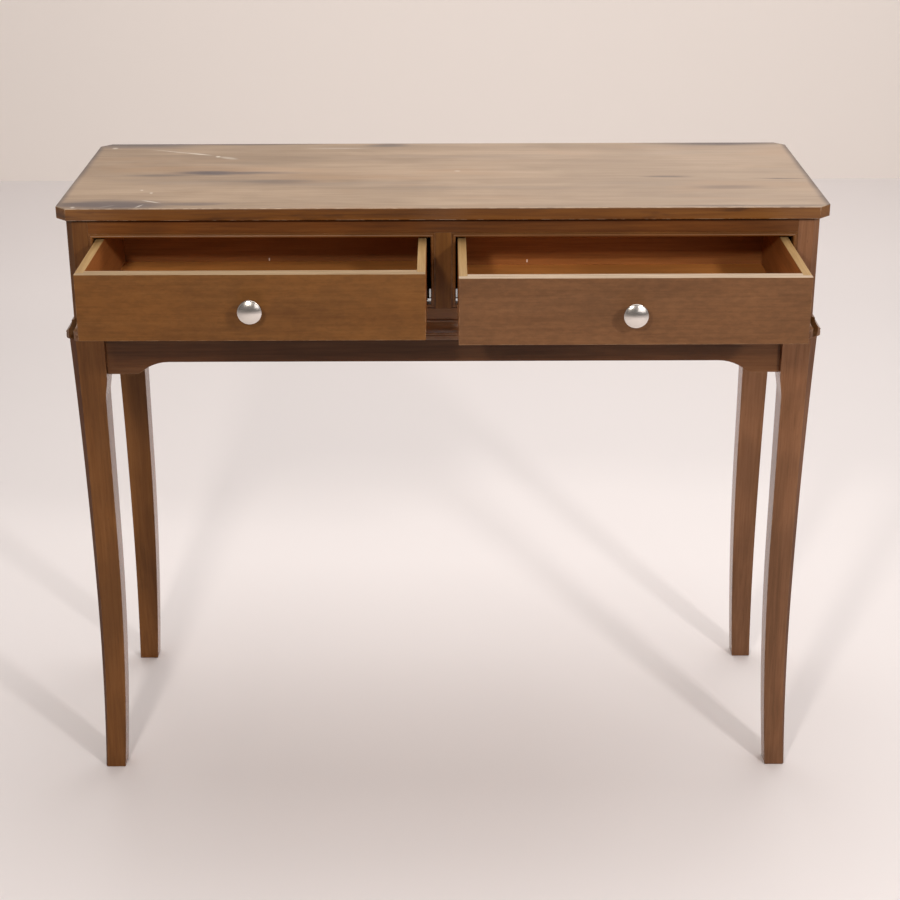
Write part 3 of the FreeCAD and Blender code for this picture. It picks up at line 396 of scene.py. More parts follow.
def top_wood():
    """The top's stain has faded on its upper face, which keeps dark glazing at the rim and in a few
    streaks, and has pale scuffs and nicks. Its upper face is also made darker to the left and
    lighter and greyer to the right, painted sheen. Its edges are as brown as the rest of the table.
    The place of each mark is in millimetres from the middle of the top."""
    wood = Wood("top_wood", "X", (0, 0, 0), FADED_TOP, 0.12, 0.25)
    r = wood.recipe
    warm = r.fade(r.noise((3.2, 13, 1), (0.6, 0.2, 0), 3, 0.6, 0.4), 0.50, 0.72, 0.0, 0.4)
    colour = r.mix(warm, wood.colour, (0.36, 0.195, 0.082))
    cool = r.fade(r.noise((2.2, 20, 1), (0.1, 0.9, 0), 3, 0.6, 0.3), 0.54, 0.74, 0.0, 0.32)
    colour = r.mix(cool, colour, (0.165, 0.130, 0.105))
    # Painted sheen: darker towards the left end, and mixed towards a pale grey towards the right,
    # where the top catches more reflection.
    colour = r.shade(colour, r.fade(r.axis("X"), MIDDLE[0] - 0.5, MIDDLE[0] + 0.2, 0.90, 1.0))
    painted_sheen = r.fade(r.axis("X"), MIDDLE[0] - 0.25, MIDDLE[0] + 0.45, 0.0, 0.34)
    colour = r.mix(painted_sheen, colour, (0.40, 0.315, 0.25))

    drawn_out = r.add("Mapping", {"Vector": r.place, "Scale": (14, 110, 1)})
    stray = r.add("TexNoise", {"Vector": drawn_out, "Scale": 1.0, "Detail": 3.0}, output=1)
    offset = r.add("VectorMath", {0: stray, 1: (0.5, 0.5, 0.5)}, operation="SUBTRACT")
    offset = r.add("VectorMath", {0: offset, 1: (0.05, 0.012, 0.0)}, operation="MULTIPLY")
    ragged = r.add("VectorMath", {0: r.place, 1: offset}, operation="ADD")
    # Dark glazing marks. The last, along the front right edge, stands for the bluish sheen there:
    # painted sheen, as a darker base under the finish's reflection.
    glaze_and_shade = r.marks(ragged, [
        (-326, 6, 62, 18, 0, 1.0), (-290, 6, 120, 11, 0, 0.85), (-395, -8, 60, 10, 0, 0.5),
        (-450, 188, 160, 38, 0, 1.0), (-300, 188, 180, 16, 0, 0.85), (-440, -166, 115, 34, 0, 0.9),
        (-335, -165, 75, 12, 0, 0.6), (-80, 176, 45, 18, 0, 0.75), (-228, -44, 75, 18, 0, 0.4),
        (310, -22, 50, 8, 0, 0.7), (470, -35, 50, 4, 0, 1.0), (385, -82, 75, 15, 0, 0.4),
        (410, 188, 160, 28, 0, 0.95), (400, -182, 160, 9, 0, 0.55)])
    lowest = r.math("MINIMUM", r.math("SUBTRACT", TOP_HIGH[0], r.axis("X")),
                    r.math("SUBTRACT", r.axis("X"), TOP_LOW[0]))
    ends = r.fade(r.math("MULTIPLY_ADD", wood.blots, 6 * MM, lowest), 4 * MM, 14 * MM, 0.8, 0.0)
    glaze_and_shade = r.math("MAXIMUM", glaze_and_shade, ends)
    glaze_and_shade = r.math("MULTIPLY", glaze_and_shade, r.fade(wood.bands, 0.3, 0.6, 1.0, 0.88))
    colour = r.mix(glaze_and_shade, colour, (0.042, 0.027, 0.031))
    scuffs = r.marks(r.place, [
        (-392, 136, 54, 2.4, -0.40, 0.55), (-357, 122, 28, 3.2, -0.37, 1.0),
        (-326, 105, 5, 5, 0, 0.9), (-310, 96, 22, 8, -0.5, 0.35), (-155, 156, 60, 5, 0, 0.3),
        (-407, -91, 3, 4, 0, 0.9), (-392, -106, 3, 4, 0, 0.9), (-484, -181, 4, 5, 0, 0.8),
        (-484, 160, 6, 6, 0, 0.6), (20, 13, 6, 6, 0, 0.35), (-386, -152, 20, 2.2, -0.5, 0.8),
        (-398, -175, 12, 2.2, 1.1, 0.6), (-440, -176, 14, 2, 0.5, 0.3)])
    hair = r.fade(r.noise((40, 700, 1), (0, 0.4, 0), 2, 0.6), 0.35, 0.55, 0.35, 1.0)
    scuffs = r.math("MULTIPLY", scuffs, hair)
    colour = r.mix(scuffs, colour, (0.74, 0.68, 0.60))

    below = r.ramp(wood.shares, TONE_STOPS, TOP_EDGE)
    stained = r.fade(r.noise((9, 9, 60), (0.3, 0, 0.2), 3, 0.6), 0.55, 0.68, 0.0, 0.6)
    below = r.mix(stained, below, (0.040, 0.014, 0.004))
    upper = r.fade(r.axis("Z"), TOP_HIGH[2] - 1.5 * MM, TOP_HIGH[2] - 0.6 * MM)
    wood.colour = r.mix(upper, below, colour)
    wood.wear(wood.rubbed_edge(), (0.50, 0.38, 0.26), 0.7, 90)
    wood.rough = r.math("MULTIPLY_ADD", glaze_and_shade, 0.04, r.math("SUBTRACT", wood.rough, 0.06))
    return wood.finish(0.2, 0.0002, Specular_IOR_Level=0.45, Coat_Weight=0.15, Coat_Roughness=0.3)


def bare(wood, dark, light, level):
    """Above a level the wood was never finished: pale, with its fine lines showing."""
    r = wood.recipe
    above = r.fade(r.axis("Z"), level - 0.7 * MM, level - 0.3 * MM)
    return r.mix(above, wood.colour, wood.lined(dark, light))


def drawer_wood(name, grain, shift, level, fleck=None):
    """Thin orange-brown lacquer; the top edge is bare. A fleck is a small pale upright mark at (x,
    z).
    """
    wood = Wood(name, grain, shift, DRAWER_ORANGE, 0.15)
    r = wood.recipe
    if fleck:
        across, upward = (r.distance(key, place) for key, place in zip("XZ", fleck))
        pale_mark = r.math("MULTIPLY", r.fade(across, 0.5 * MM, 1.2 * MM, 1.0, 0.0),
                      r.fade(upward, 1.5 * MM, 2.5 * MM, 1.0, 0.0))
        wood.colour = r.mix(pale_mark, wood.colour, (0.95, 0.82, 0.70))
    wood.colour = bare(wood, (0.31, 0.185, 0.072), (0.42, 0.27, 0.115), level)
    return wood.finish()


def front_wood(side):
    """A drawer front: brown stain on its face and ends, thin lacquer behind, a bare top edge."""
    low, high = box(f"{side}_drawer_front")
    if side == "left":
        shift, tones = (0.4, 0.3, 0.1), WARM_FRONT
        bare_tones = (0.27, 0.175, 0.088), (0.38, 0.265, 0.150)
    else:
        shift, tones = (1.7, 0.9, 0.6), ROSY_FRONT
        bare_tones = (0.36, 0.265, 0.175), (0.50, 0.38, 0.27)
    wood = Wood(f"{side}_front_wood", "X", shift, tones, 0.12, 0.25)
    r = wood.recipe
    mottle = r.noise((70, 70, 160), shift, 4, 0.65)
    wood.colour = r.shade(wood.colour, r.fade(mottle, 0.35, 0.65, 0.90, 1.08))
    wood.wear(r.near_edges(low, high, 1.6 * MM), RUBBED, 0.5)
    inner = wood.lined((0.30, 0.105, 0.025), (0.39, 0.145, 0.040))
    behind = r.fade(r.axis("Y"), low[1] + 1.0 * MM, low[1] + 1.6 * MM)
    wood.colour = r.mix(behind, wood.colour, inner)
    wood.colour = bare(wood, *bare_tones, high[2])
    return wood.finish()


def plain_wood(name, grain, dark, light):
    """Unfinished wood for the pieces inside."""
    middle = tuple((a + b) / 2 for a, b in zip(dark, light))
    wood = Wood(name, grain, (0.2, 0.5, 0.8), (dark, middle, light), 0.2)
    wood.rough = 0.7
    return wood.finish(0.3, 0.0003)


def satin_nickel():
    """Brushed round its own axis."""
    recipe = Recipe("satin_nickel")
    turning = recipe.add("UVMap", uv_map="turning")
    stretched = recipe.add("Mapping", {"Vector": turning, "Scale": (3, 240, 1)})
    inputs = {"Vector": stretched, "Scale": 1.0, "Detail": 3.0, "Roughness": 0.6}
    rings = recipe.add("TexNoise", inputs)
    tangent = recipe.add("Tangent", direction_type="UV_MAP", uv_map="turning")
    recipe.put(recipe.shader.inputs["Tangent"], tangent)
    rough = recipe.fade(rings, 0.3, 0.7, 0.15, 0.23)
    return recipe.finish((0.68, 0.635, 0.59, 1), rough, rings, 0.08, 0.0001, Metallic=1.0,
                         Anisotropic=0.3)


def plain_metal(name, colour, rough):
    """Plated steel with a faint cloud in its gloss."""
    recipe = Recipe(name)
    cloud = recipe.noise((90, 90, 90))
    tone = recipe.mix(recipe.fade(cloud, 0.3, 0.7), tuple(c * 0.85 for c in colour), colour)
    clouded = recipe.fade(cloud, 0.3, 0.7, rough, rough + 0.12)
    return recipe.finish(tone, clouded, cloud, 0.05, 0.0001, Metallic=1.0)


def white_nylon():
    """White, with a faint cloud. A faint glow is painted light: it brightens the guides in their
    shaded gaps, for the light that the nylon would pass on.
    """
    recipe = Recipe("white_nylon")
    cloud = recipe.noise((60, 60, 60))
    colour = recipe.mix(recipe.fade(cloud, 0.3, 0.7), (0.84, 0.83, 0.80), (0.92, 0.91, 0.89))
    return recipe.finish(colour, recipe.fade(cloud, 0.3, 0.7, 0.4, 0.5), cloud, 0.05, 0.0001,
                         Subsurface_Weight=0.1, Subsurface_Scale=0.002, Emission_Strength=0.3)


# ---- shapes ----

TOUCHING = 1e-6
EASE_STEPS = 3
SMOOTH_ANGLE, CRISP_ANGLE = 40, 30
FLAT = (0, 1, 2)


def piece(name, vertices, faces, body, stands_for, material, smooth_angle=SMOOTH_ANGLE,
          eased=None, canted=None):
    """A mesh from arrays, with its place in its vertices and its faces turned outwards. eased and
    canted say how much each point belongs to an eased edge or to a canted corner."""
    mesh = bpy.data.meshes.new(name)
    mesh.from_pydata(np.asarray(vertices, float).reshape(-1, 3).tolist(), [], faces)
    for key, values in (("eased_edge", eased), ("canted_corner", canted)):
        if values is not None:
            layer = mesh.attributes.new(key, "FLOAT", "POINT")
            layer.data.foreach_set("value", np.asarray(values, float).ravel())
    shell = bmesh.new()
    shell.from_mesh(mesh)
    bmesh.ops.remove_doubles(shell, verts=shell.verts, dist=TOUCHING)
    bmesh.ops.recalc_face_normals(shell, faces=shell.faces)
    shell.to_mesh(mesh)
    shell.free()
    mesh.shade_smooth()
    mesh.set_sharp_from_angle(angle=math.radians(smooth_angle))
    mesh.materials.append(material)
    item = bpy.data.objects.new(name, mesh)
    scene.collection.objects.link(item)
    even = item.modifiers.new("even_normals", "WEIGHTED_NORMAL")
    even.keep_sharp = True
    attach(item, body)
    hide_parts(*stands_for)
    return item


def ring_faces(rings, count, close_ends=True):
    """Quads between rings that follow each other, each of count points, and a cap at both ends."""
    ring, point = np.meshgrid(np.arange(rings - 1), np.arange(count), indexing="ij")
    following = (point + 1) % count
    here, there = ring * count, (ring + 1) * count
    quads = np.stack([here + point, here + following, there + following, there + point], -1)
    faces = quads.reshape(-1, 4).tolist()
    if close_ends:
        faces.append(list(range(count))[::-1])
        faces.append(list(range((rings - 1) * count, rings * count)))
    return faces


def rounded(outline, radius):
    """Each corner P becomes points of the curve (1-s)^2 A + 2s(1-s) P + s^2 B, where A and B lie
    radius * tan(half the turn) before and after P, or less where a side is short."""
    corners = np.asarray(outline, float)
    before = np.roll(corners, 1, 0) - corners
    after = np.roll(corners, -1, 0) - corners
    before_length = np.linalg.norm(before, axis=1)
    after_length = np.linalg.norm(after, axis=1)
    before /= before_length[:, None]
    after /= after_length[:, None]
    half_turn = (math.pi - np.arccos(np.clip((before * after).sum(1), -1, 1))) / 2
    most = 0.45 * np.minimum(before_length, after_length)
    reach = np.minimum(radius * np.tan(half_turn), most)
    share = np.linspace(0, 1, EASE_STEPS)[None, :, None]
    start = (corners + before * reach[:, None])[:, None]
    end = (corners + after * reach[:, None])[:, None]
    curve = (1 - share) ** 2 * start + 2 * share * (1 - share) * corners[:, None] + share ** 2 * end
    return curve.reshape(-1, 2)


def crest(steps, corners=1):
    """0 at both ends of an eased corner and 1 in its middle."""
    return np.tile(1 - np.abs(np.linspace(-1, 1, steps)), corners)


def offset_rule(outline):
    """How far a point moves for each unit that its two sides move outwards: with n1 and n2 the
    outward normals of those sides, (n1 + n2) / (1 + n1.n2)."""
    points = np.asarray(outline, float)
    following = np.roll(points, -1, 0)
    way = following - points
    way /= np.maximum(np.linalg.norm(way, axis=1), 1e-12)[:, None]
    area = np.sum(points[:, 0] * following[:, 1] - following[:, 0] * points[:, 1])
    normal = np.stack([way[:, 1], -way[:, 0]], 1) * np.sign(area)
    previous = np.roll(normal, 1, 0)
    return (normal + previous) / (1 + (normal * previous).sum(1))[:, None]


def slab(outline, low, high, ease, order):
    """An outline given a thickness, its edges eased by a quarter round. For an ease e and a = 0 to
    90 degrees, a ring is the outline moved in by e(1 - sin a), at e(1 - cos a) from the face. order
    says which axis each of (u, v, w) is. Also gives how far each point is on an eased edge."""
    corner_radius = 1.3 * ease
    corners = rounded(outline, corner_radius)
    rule = offset_rule(corners)
    angle = np.linspace(0, math.pi / 2, 5)
    inset = ease * (1 - np.sin(angle))
    rise = ease * (1 - np.cos(angle))
    insets = np.concatenate([inset, inset[::-1]])
    levels = np.concatenate([low + rise, high - rise[::-1]])
    flat = corners[None] - insets[:, None, None] * rule[None]
    thickness = np.broadcast_to(levels[:, None, None], (len(levels), len(corners), 1))
    rings = np.concatenate([flat, thickness], 2)
    points = np.empty_like(rings)
    for source, target in enumerate(order):
        points[..., target] = rings[..., source]
    arris = np.tile(crest(len(angle)), 2)
    wall = np.zeros(len(levels))
    wall[1:-1] = 1
    upright = crest(EASE_STEPS, len(corners) // EASE_STEPS)
    eased = np.maximum(arris[:, None], wall[:, None] * upright[None])
    return points.reshape(-1, 3), ring_faces(len(levels), len(corners)), eased


def carcass_piece(node, ending, shape, material, smooth_angle=SMOOTH_ANGLE, canted=None):
    """A stained piece of the carcass, from its points, its faces and how far each is eased."""
    points, faces, eased = shape
    piece(node + ending, points, faces, "carcass", [node], material, smooth_angle,
          eased, canted)


def board(node, ease, material):
    """A straight board: the rectangle of its CAD node's box, given its height as a slab."""
    (x0, y0, z0), (x1, y1, z1) = box(node)
    outline = [(x0, y0), (x1, y0), (x1, y1), (x0, y1)]
    carcass_piece(node, "_board", slab(outline, z0, z1, ease, FLAT), material)


# ---- the pieces ----

def tabletop():
    """A slab of a rectangle with each corner cut at 45 degrees, a clip away from its point."""
    clip, ease = 15 * MM, 1.3 * MM
    (x0, y0, z0), (x1, y1, z1) = TOP_LOW, TOP_HIGH
    outline = [(x0 + clip, y0), (x1 - clip, y0), (x1, y0 + clip), (x1, y1 - clip),
               (x1 - clip, y1), (x0 + clip, y1), (x0, y1 - clip), (x0, y0 + clip)]
    points, faces, eased = slab(outline, z0, z1, ease, FLAT)
    piece("tabletop_board", points, faces, "carcass", ["table_top"], top_wood(),
          eased=eased)


LEG_TOP = 666 * MM


def leg_lines(height):
    """How far a leg's outer and inner lines are from the table's outside, and its cant, at each
    height z. Outer line: its deepest inset at the slimmest height, less R - sqrt(R^2 - dz^2) above
    and below it, for arcs of radius R. Inner line: the block less a step 3s^2 - 2s^3 below the
    shoulder, and less such an arc from the ankle down to the heel. The cant is 5 mm at the
    slimmest height and grows by squares to 10 mm at the top and shrinks to 2 mm at the floor."""
    slim, ankle, shoulder, rise = 260 * MM, 360 * MM, 612 * MM, 34 * MM
    slim_inset, toe_inset, step, block, toe = 8.0 * MM, 2.3 * MM, 3.6 * MM, 47.5 * MM, 28.7 * MM

    def bow(drop, run, distance):
        """How far an arc has left its tangent; it has dropped by drop after run."""
        radius = (drop ** 2 + run ** 2) / (2 * drop)
        return radius - np.sqrt(radius ** 2 - np.clip(distance, 0, run) ** 2)

    inset = slim_inset - bow(slim_inset, LEG_TOP - slim, height - slim)
    inset -= bow(slim_inset - toe_inset, slim, slim - height)
    heel = toe_inset + toe
    share = np.clip((shoulder - height) / rise, 0, 1)
    inner = block - step * share ** 2 * (3 - 2 * share)
    inner -= bow(block - step - heel, ankle, ankle - height)
    above = np.clip((height - slim) / (LEG_TOP - slim), 0, 1) ** 2
    below = np.clip((slim - height) / slim, 0, 1) ** 2
    cant = (5 + 5 * above - 3 * below) * MM
    return inset, inner, cant


def leg(end, end_sign, side, side_sign, material):
    """Sections of a square post with one canted corner, one above the other. The five corners of
    each section come from the leg's lines and are rounded a little. The section draws in at the
    foot, in its lowest 1.6 mm."""
    node = f"{end}_{side}_leg"
    low, high = box(node)
    reach_x = high[0] if side_sign > 0 else -low[0]
    reach_y = (high[1] - MIDDLE[1]) if end_sign > 0 else (MIDDLE[1] - low[1])
    foot_height = np.array([0, 0.25, 0.8, 1.6]) * MM
    foot_inset = np.array([1.2, 0.7, 0.2, 0]) * MM
    height = np.concatenate([foot_height, np.arange(20, 575, 15) * MM,
                             np.arange(578, 612, 2.5) * MM, [625 * MM, 645 * MM, LEG_TOP]])
    inset, inner, cant = leg_lines(height)
    foot = np.interp(height, foot_height, foot_inset)
    out_x, out_y = reach_x - inset - foot, reach_y - inset - foot
    in_x, in_y = reach_x - inner + foot, reach_y - inner + foot
    corners = np.stack([np.stack([in_x, in_y], -1), np.stack([out_x, in_y], -1),
                        np.stack([out_x, out_y - cant], -1), np.stack([out_x - cant, out_y], -1),
                        np.stack([in_x, out_y], -1)], 1)
    rings = [rounded(section, 1.1 * MM) for section in corners]
    flat = np.stack(rings) * (side_sign, end_sign)
    flat[..., 1] += MIDDLE[1]
    levels = np.broadcast_to(height[:, None, None], (*flat.shape[:2], 1))
    points = np.concatenate([flat, levels], 2)
    eased = np.broadcast_to(crest(EASE_STEPS, corners.shape[1]), flat.shape[:2])
    # the cant lies between the last point of the third corner and the first of the fourth
    canted = np.zeros(flat.shape[:2])
    canted[:, 3 * EASE_STEPS - 1:3 * EASE_STEPS + 1] = 1
    shape = points, ring_faces(*flat.shape[:2]), eased
    carcass_piece(node, "_turned_out", shape, material, canted=canted)


def apron_outline(low, high, run_axis):
    """Straight along the top. Below, a level drop at each end, a small round of radius r and a
    hollow sweep of radius R that meet where sin a = run / (r + R), and a straight line between."""
    half = (high[run_axis] - low[run_axis]) / 2
    centre = (high[run_axis] + low[run_axis]) / 2
    deep, flat_run, small, sweep, rise = low[2], 40 * MM, 7 * MM, 58 * MM, 17 * MM
    both = small + sweep
    run = math.sqrt(both ** 2 - (both - rise) ** 2)
    joint = math.asin(run / both)
    turn = np.linspace(0, joint, 7)
    start = half - flat_run
    first = np.stack([start - small * np.sin(turn), deep + small * (1 - np.cos(turn))], 1)
    back = turn[::-1][1:]
    second = np.stack([start - run + sweep * np.sin(back),
                       deep + rise - sweep * (1 - np.cos(back))], 1)
    right = np.concatenate([[(half, deep)], first, second])
    left = right[::-1] * (-1, 1)
    outline = np.concatenate([[(-half, high[2]), (half, high[2])], right, left])
    return outline[::-1] + (centre, 0)


def apron(node, run_axis, material):
    """A slab of the apron's outline, set upright."""
    low, high = box(node)
    other = 1 - run_axis
    outline = apron_outline(low, high, run_axis)
    shape = slab(outline, low[other], high[other], 0.7 * MM, (run_axis, 2, other))
    carcass_piece(node, "_board", shape, material, CRISP_ANGLE)


def post(end, end_sign, side, side_sign, material):
    """A corner post: a slab of its box's rectangle with the outer corner cut at 45 degrees."""
    node = f"{end}_{side}_post"
    low, high = box(node)
    cant = 9 * MM
    outer_x, inner_x = (high[0], low[0]) if side_sign > 0 else (low[0], high[0])
    outer_y, inner_y = (high[1], low[1]) if end_sign > 0 else (low[1], high[1])
    outline = [(inner_x, inner_y), (outer_x, inner_y), (outer_x, outer_y - end_sign * cant),
               (outer_x - side_sign * cant, outer_y), (inner_x, outer_y)]
    carcass_piece(node, "_canted", slab(outline, low[2], high[2], 0.35 * MM, FLAT), material)


def waist_section(reach):
    """The moulding's section, as distances out from the case and heights, worked in millimetres: a
    band, a quirk, a small round nose (c + r cos b, h + r sin b), a slope hollowed by the parabola
    4s(1 - s), and a fillet."""
    inside, height = -48.6, 25
    nose_radius, nose_height = 1.5, 8.9
    centre = reach / MM - nose_radius
    band = [(inside, 0), (10.1, 0), (10.8, 0.35), (11.2, 1.1), (11.25, 6.0), (11.05, 6.6),
            (10.6, 6.9), (10.55, 7.3)]
    turn = np.radians(np.linspace(-60, 75, 8))
    nose = np.stack([centre + nose_radius * np.cos(turn),
                     nose_height + nose_radius * np.sin(turn)], 1)
    share = np.linspace(0, 1, 9)[:, None]
    slope = np.array([(10.0, 10.6)]) * (1 - share) + np.array([(2.5, 22.5)]) * share
    slope -= 4 * share * (1 - share) * (1.1, 0.7)
    fillet = [(2.7, 22.8), (2.7, 24.6), (2.3, height), (inside, height)]
    return np.concatenate([band, nose, slope, fillet]) * MM


def waist(node, run_axis, sign, material):
    """The section carried along one side. It ends in a mitre, x - X = y - Y from the case's corner
    (X, Y), and its nose is cut back by the upright face x + y = X + Y + 2 reach - clip."""
    low, high = box(node)
    reach, clip, end_wear, corner_wear = 11.4 * MM, 9 * MM, 1.5 * MM, 30 * MM
    half = (high - low)[run_axis] / 2
    case = half - reach
    section = waist_section(reach)
    crossing = reach - clip / 2
    outline = []
    for start, end in zip(section, np.roll(section, -1, 0)):
        outline.append(start)
        if (start[0] - crossing) * (end[0] - crossing) < 0:
            outline.append(start + (end - start) * (crossing - start[0]) / (end[0] - start[0]))
    outline = np.array(outline)
    ends = np.minimum(case + outline[:, 0], case + 2 * reach - clip - outline[:, 0])
    runs = np.stack([-ends, end_wear - ends, corner_wear - ends,
                     ends - corner_wear, ends - end_wear, ends])
    across = (high if sign > 0 else low)[1 - run_axis] - sign * reach
    points = np.empty((*runs.shape, 3))
    points[..., run_axis] = runs + (low + high)[run_axis] / 2
    points[..., 1 - run_axis] = across + sign * outline[:, 0]
    points[..., 2] = low[2] + outline[:, 1]
    count = len(outline)
    faces = ring_faces(len(runs), count, close_ends=False)
    close = 1e-9
    clipped = [i for i in range(count) if outline[i, 0] > crossing - close]
    mitred = [i for i in range(count) if outline[i, 0] < crossing + close]
    last = (len(runs) - 1) * count
    for loop in (clipped, mitred):
        faces += [loop, [i + last for i in loop]]
    # rubbed most at the clipped ends and on the nose, and less away from the corners. The lighter
    # nose is also painted highlight, and the slope, made lighter near the ends, painted sheen
    eased = np.zeros(runs.shape)
    proud = outline[:, 0] > 10.8 * MM
    nose = np.abs(outline[:, 1] - 9.6 * MM) < 1.2 * MM
    slope = (outline[:, 1] > 10.4 * MM) & (outline[:, 0] > 2 * MM)
    eased[:, proud] = 0.45
    eased[:, nose] = 0.8
    eased[2:4] *= 0.3
    eased[np.ix_([1, 4], slope)] = 0.5
    eased[[0, -1]] = np.where(outline[:, 0] > crossing, 1.0, 0.5)
    carcass_piece(node, "_moulded", (points, faces, eased), material, CRISP_ANGLE)


def knob(side, material):
    """A half section turned about the knob's axis: foot, hollow neck, rolled rim and a shallow
    dome, which is an arc of radius (e^2 + t^2) / 2t for an edge radius e and a rise t. A point at
    radius r, reach h and angle a is (r cos a, -h, r sin a) from the middle of the foot."""
    node = f"{side}_drawer_knob"
    low, high = box(node)
    centre = (low + high) / 2
    rim_share, steps = 0.975, 96
    rim = (high[0] - low[0]) / 2 * rim_share
    reach = high[1] - low[1]
    drawn_rim, drawn_reach = 15.875 * MM, 23 * MM
    section = np.array([
        (2.0, 0.02), (7.1, 0.02), (7.45, 0.3), (7.45, 1.5), (7.1, 1.9), (6.3, 2.5), (5.75, 3.4),
        (5.6, 4.6), (5.75, 6.2), (6.3, 8.0), (7.3, 10.0), (8.8, 12.1), (10.9, 14.1), (13.2, 15.9),
        (14.7, 17.0), (15.5, 17.75), (15.8, 18.3), (15.875, 18.8), (15.75, 19.25), (15.35, 19.6),
        (15.0, 19.74), (14.7, 19.72), (14.4, 19.8)]) * MM
    section *= (rim / drawn_rim, reach / drawn_reach)
    edge_radius, edge_height = section[-1]
    rise = reach - edge_height
    dome_radius = (edge_radius ** 2 + rise ** 2) / (2 * rise)
    across = edge_radius * np.cos(np.linspace(0, math.pi / 2, 14))[1:-1]
    dome = reach - dome_radius + np.sqrt(dome_radius ** 2 - across ** 2)
    section = np.concatenate([section, np.stack([across, dome], 1)])
    angle = np.arange(steps) * 2 * math.pi / steps
    radius, out = section[:, :1], section[:, 1:]
    rings = np.stack([centre[0] + radius * np.cos(angle), np.repeat(high[1] - out, steps, 1),
                      centre[2] + radius * np.sin(angle)], -1)
    points = np.concatenate([rings.reshape(-1, 3), [(centre[0], low[1], centre[2])]])
    count = len(section)
    faces = ring_faces(count, steps, close_ends=False)
    last = (count - 1) * steps
    faces += [[last + i, last + (i + 1) % steps, count * steps] for i in range(steps)]
    faces.append(list(range(steps)))
    item = piece(node + "_turned", points, faces, f"{side}_drawer", [node],
                 material)
    turning_map(item, centre, 2 * rim)


def turning_map(item, centre, width):
    """A map for turned work: u is the angle round the axis as a share of a turn, v the radius as a
    share of the width. A face that crosses the start of the turn is carried past 1."""
    mesh = item.data
    layer = mesh.uv_layers.new(name="turning")
    places = np.zeros(len(mesh.vertices) * 3)
    mesh.vertices.foreach_get("co", places)
    corner = np.zeros(len(mesh.loops), int)
    mesh.loops.foreach_get("vertex_index", corner)
    offset = places.reshape(-1, 3)[corner] - centre
    angle = np.arctan2(offset[:, 2], offset[:, 0]) / (2 * math.pi) % 1
    radius = np.hypot(offset[:, 0], offset[:, 2]) / width
    for polygon in mesh.polygons:
        span = slice(polygon.loop_start, polygon.loop_start + polygon.loop_total)
        turn = angle[span]
        if turn.max() - turn.min() > 0.5:
            angle[span] = np.where(turn < 0.5, turn + 1, turn)
    layer.data.foreach_set("uv", np.stack([angle, radius], 1).ravel())


tabletop()
# On the right the tones are painted sheen; the last number of each side is how dark the painted
# shade on its legs' canted corners is.
side_looks = ("left", -1, WARM_BROWN, 0.6), ("right", 1, SHEENED_BROWN, 0.35)
for end, end_sign in ENDS:
    for side, side_sign, tones, glaze_and_shade in side_looks:
        shift = (0.31 * side_sign, 0.17 * end_sign, 0.4 * side_sign - 0.2 * end_sign)
        other_shift = [-part for part in shift]
        leg_wood = brown_wood(f"{end}_{side}_leg_wood", "Z", shift, tones, glaze_and_shade=glaze_and_shade)
        leg(end, end_sign, side, side_sign, leg_wood)
        post_wood = brown_wood(f"{end}_{side}_post_wood", "Z", other_shift, tones)
        post(end, end_sign, side, side_sign, post_wood)

long_wood = brown_wood("rail_wood", "X", (0.7, 0.1, 0.2), DEEP_BROWN)
# The aprons' darker tones are painted shade under the drawers, and their lighter lower part is
# painted light.
apron_wood = brown_wood("apron_wood", "X", (1.3, 0.6, 0.4), SHADED_BROWN, lit_below=637 * MM)
cross_wood = brown_wood("end_wood", "Y", (0.2, 0.6, 0.9))
upright_wood = brown_wood("stile_wood", "Z", (0.9, 0.2, 0.5), STILE_BROWN)
waist_wood = glossy_wood("waist_wood", "X", (0.1, 0.8, 0.3), gloss=0.2)
waist_end_wood = glossy_wood("waist_end_wood", "Y", (0.5, 0.2, 0.7))
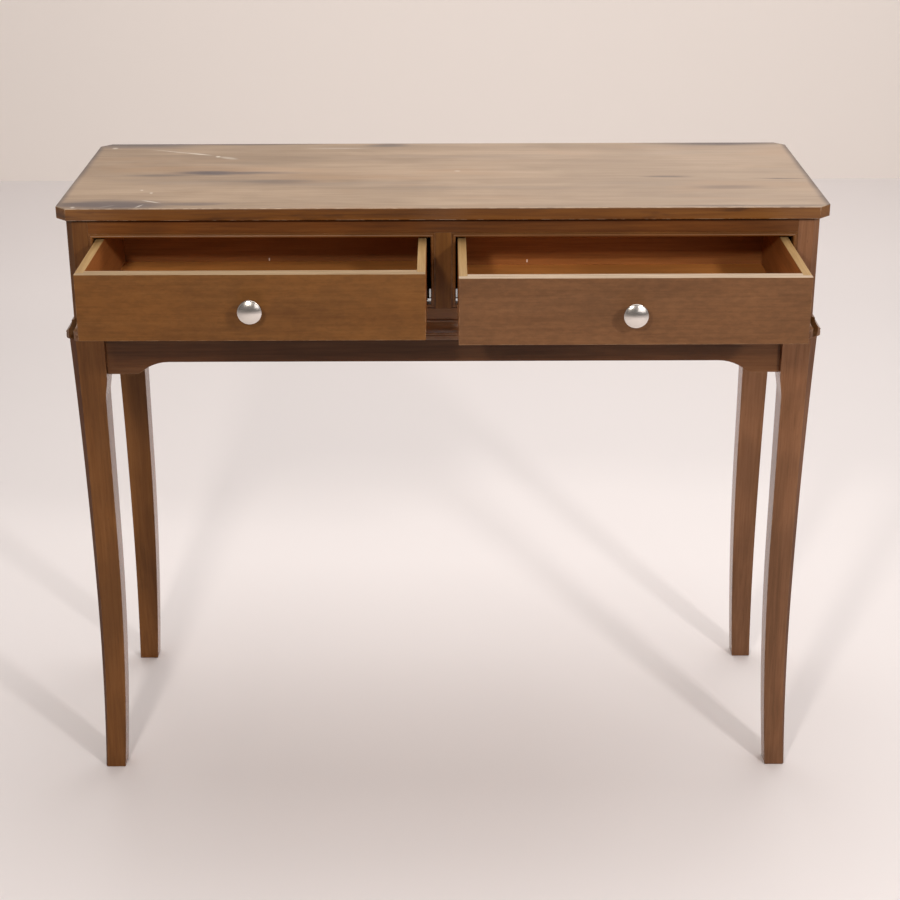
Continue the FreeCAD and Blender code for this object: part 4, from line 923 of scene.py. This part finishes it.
# The beads' lighter brown is painted highlight.
bead_wood = glossy_wood("bead_wood", "X", (0.7, 0.1, 0.2), HIGHLIT_BEAD_BROWN, 0.1)
around = ("front", 0, -1), ("back", 0, 1), ("left", 1, -1), ("right", 1, 1)
for place, run_axis, sign in around:
    waist(f"waist_{place}", run_axis, sign, waist_end_wood if run_axis else waist_wood)
for place, run_axis, _ in around:
    apron(f"{place}_apron", run_axis, cross_wood if run_axis else apron_wood)
board("top_rail", 0.4 * MM, long_wood)
board("centre_stile", 0.4 * MM, upright_wood)
board("left_end_panel", 0.3 * MM, cross_wood)
board("right_end_panel", 0.3 * MM, cross_wood)

nickel = satin_nickel()
for side in SIDES:
    knob(side, nickel)


# ---- finishes of the CAD pieces that stay ----

def dress(material, *names):
    """Gives CAD pieces a finish."""
    for name in names:
        mesh = nodes[name].data
        mesh.materials.clear()
        mesh.materials.append(material)


zinc = plain_metal("zinc_steel", (0.55, 0.55, 0.56), 0.35)
nylon = white_nylon()
case_wood = plain_wood("case_wood", "X", (0.20, 0.10, 0.05), (0.30, 0.17, 0.09))
case_cross_wood = plain_wood("case_cross_wood", "Y", (0.24, 0.13, 0.07), (0.34, 0.20, 0.11))

dress(bead_wood, "bottom_rail", "left_opening_bead", "right_opening_bead")
dress(case_wood, "case_back", "dust_panel", "corner_blocks")
dress(case_cross_wood, "centre_divider", "left_kicker", "right_kicker", "left_track_batten",
      "right_track_batten")
dress(zinc, "top_screws", "corner_block_screws", "corner_guide_tacks", "track_screws", "left_track",
      "right_track")
dress(nylon, "corner_guides")
flecks = (-245 * MM, 731.5 * MM), (117 * MM, 734 * MM)
for number, (side, fleck) in enumerate(zip(SIDES, flecks)):
    level = box(f"{side}_drawer_front")[1][2]
    lengthwise = drawer_wood(f"{side}_drawer_side_wood", "Y", (0.3, 0.2 + number, 0.1), level)
    crosswise = drawer_wood(f"{side}_drawer_back_wood", "X", (0.8 + number, 0.4, 0.2), level, fleck)
    # Painted light: the drawer bottoms are a much lighter orange than the sides and backs, for the
    # band of lamp light that falls on them.
    bottom = plain_wood(f"{side}_drawer_bottom_wood", "X", (0.58, 0.222, 0.050),
                        (0.70, 0.287, 0.072))
    dress(front_wood(side), f"{side}_drawer_front")
    dress(lengthwise, f"{side}_drawer_left_side", f"{side}_drawer_right_side")
    dress(crosswise, f"{side}_drawer_back")
    dress(bottom, f"{side}_drawer_bottom")
    dress(zinc, f"{side}_knob_screw", f"{side}_rear_guide_screws")
    dress(nylon, f"{side}_rear_guide")
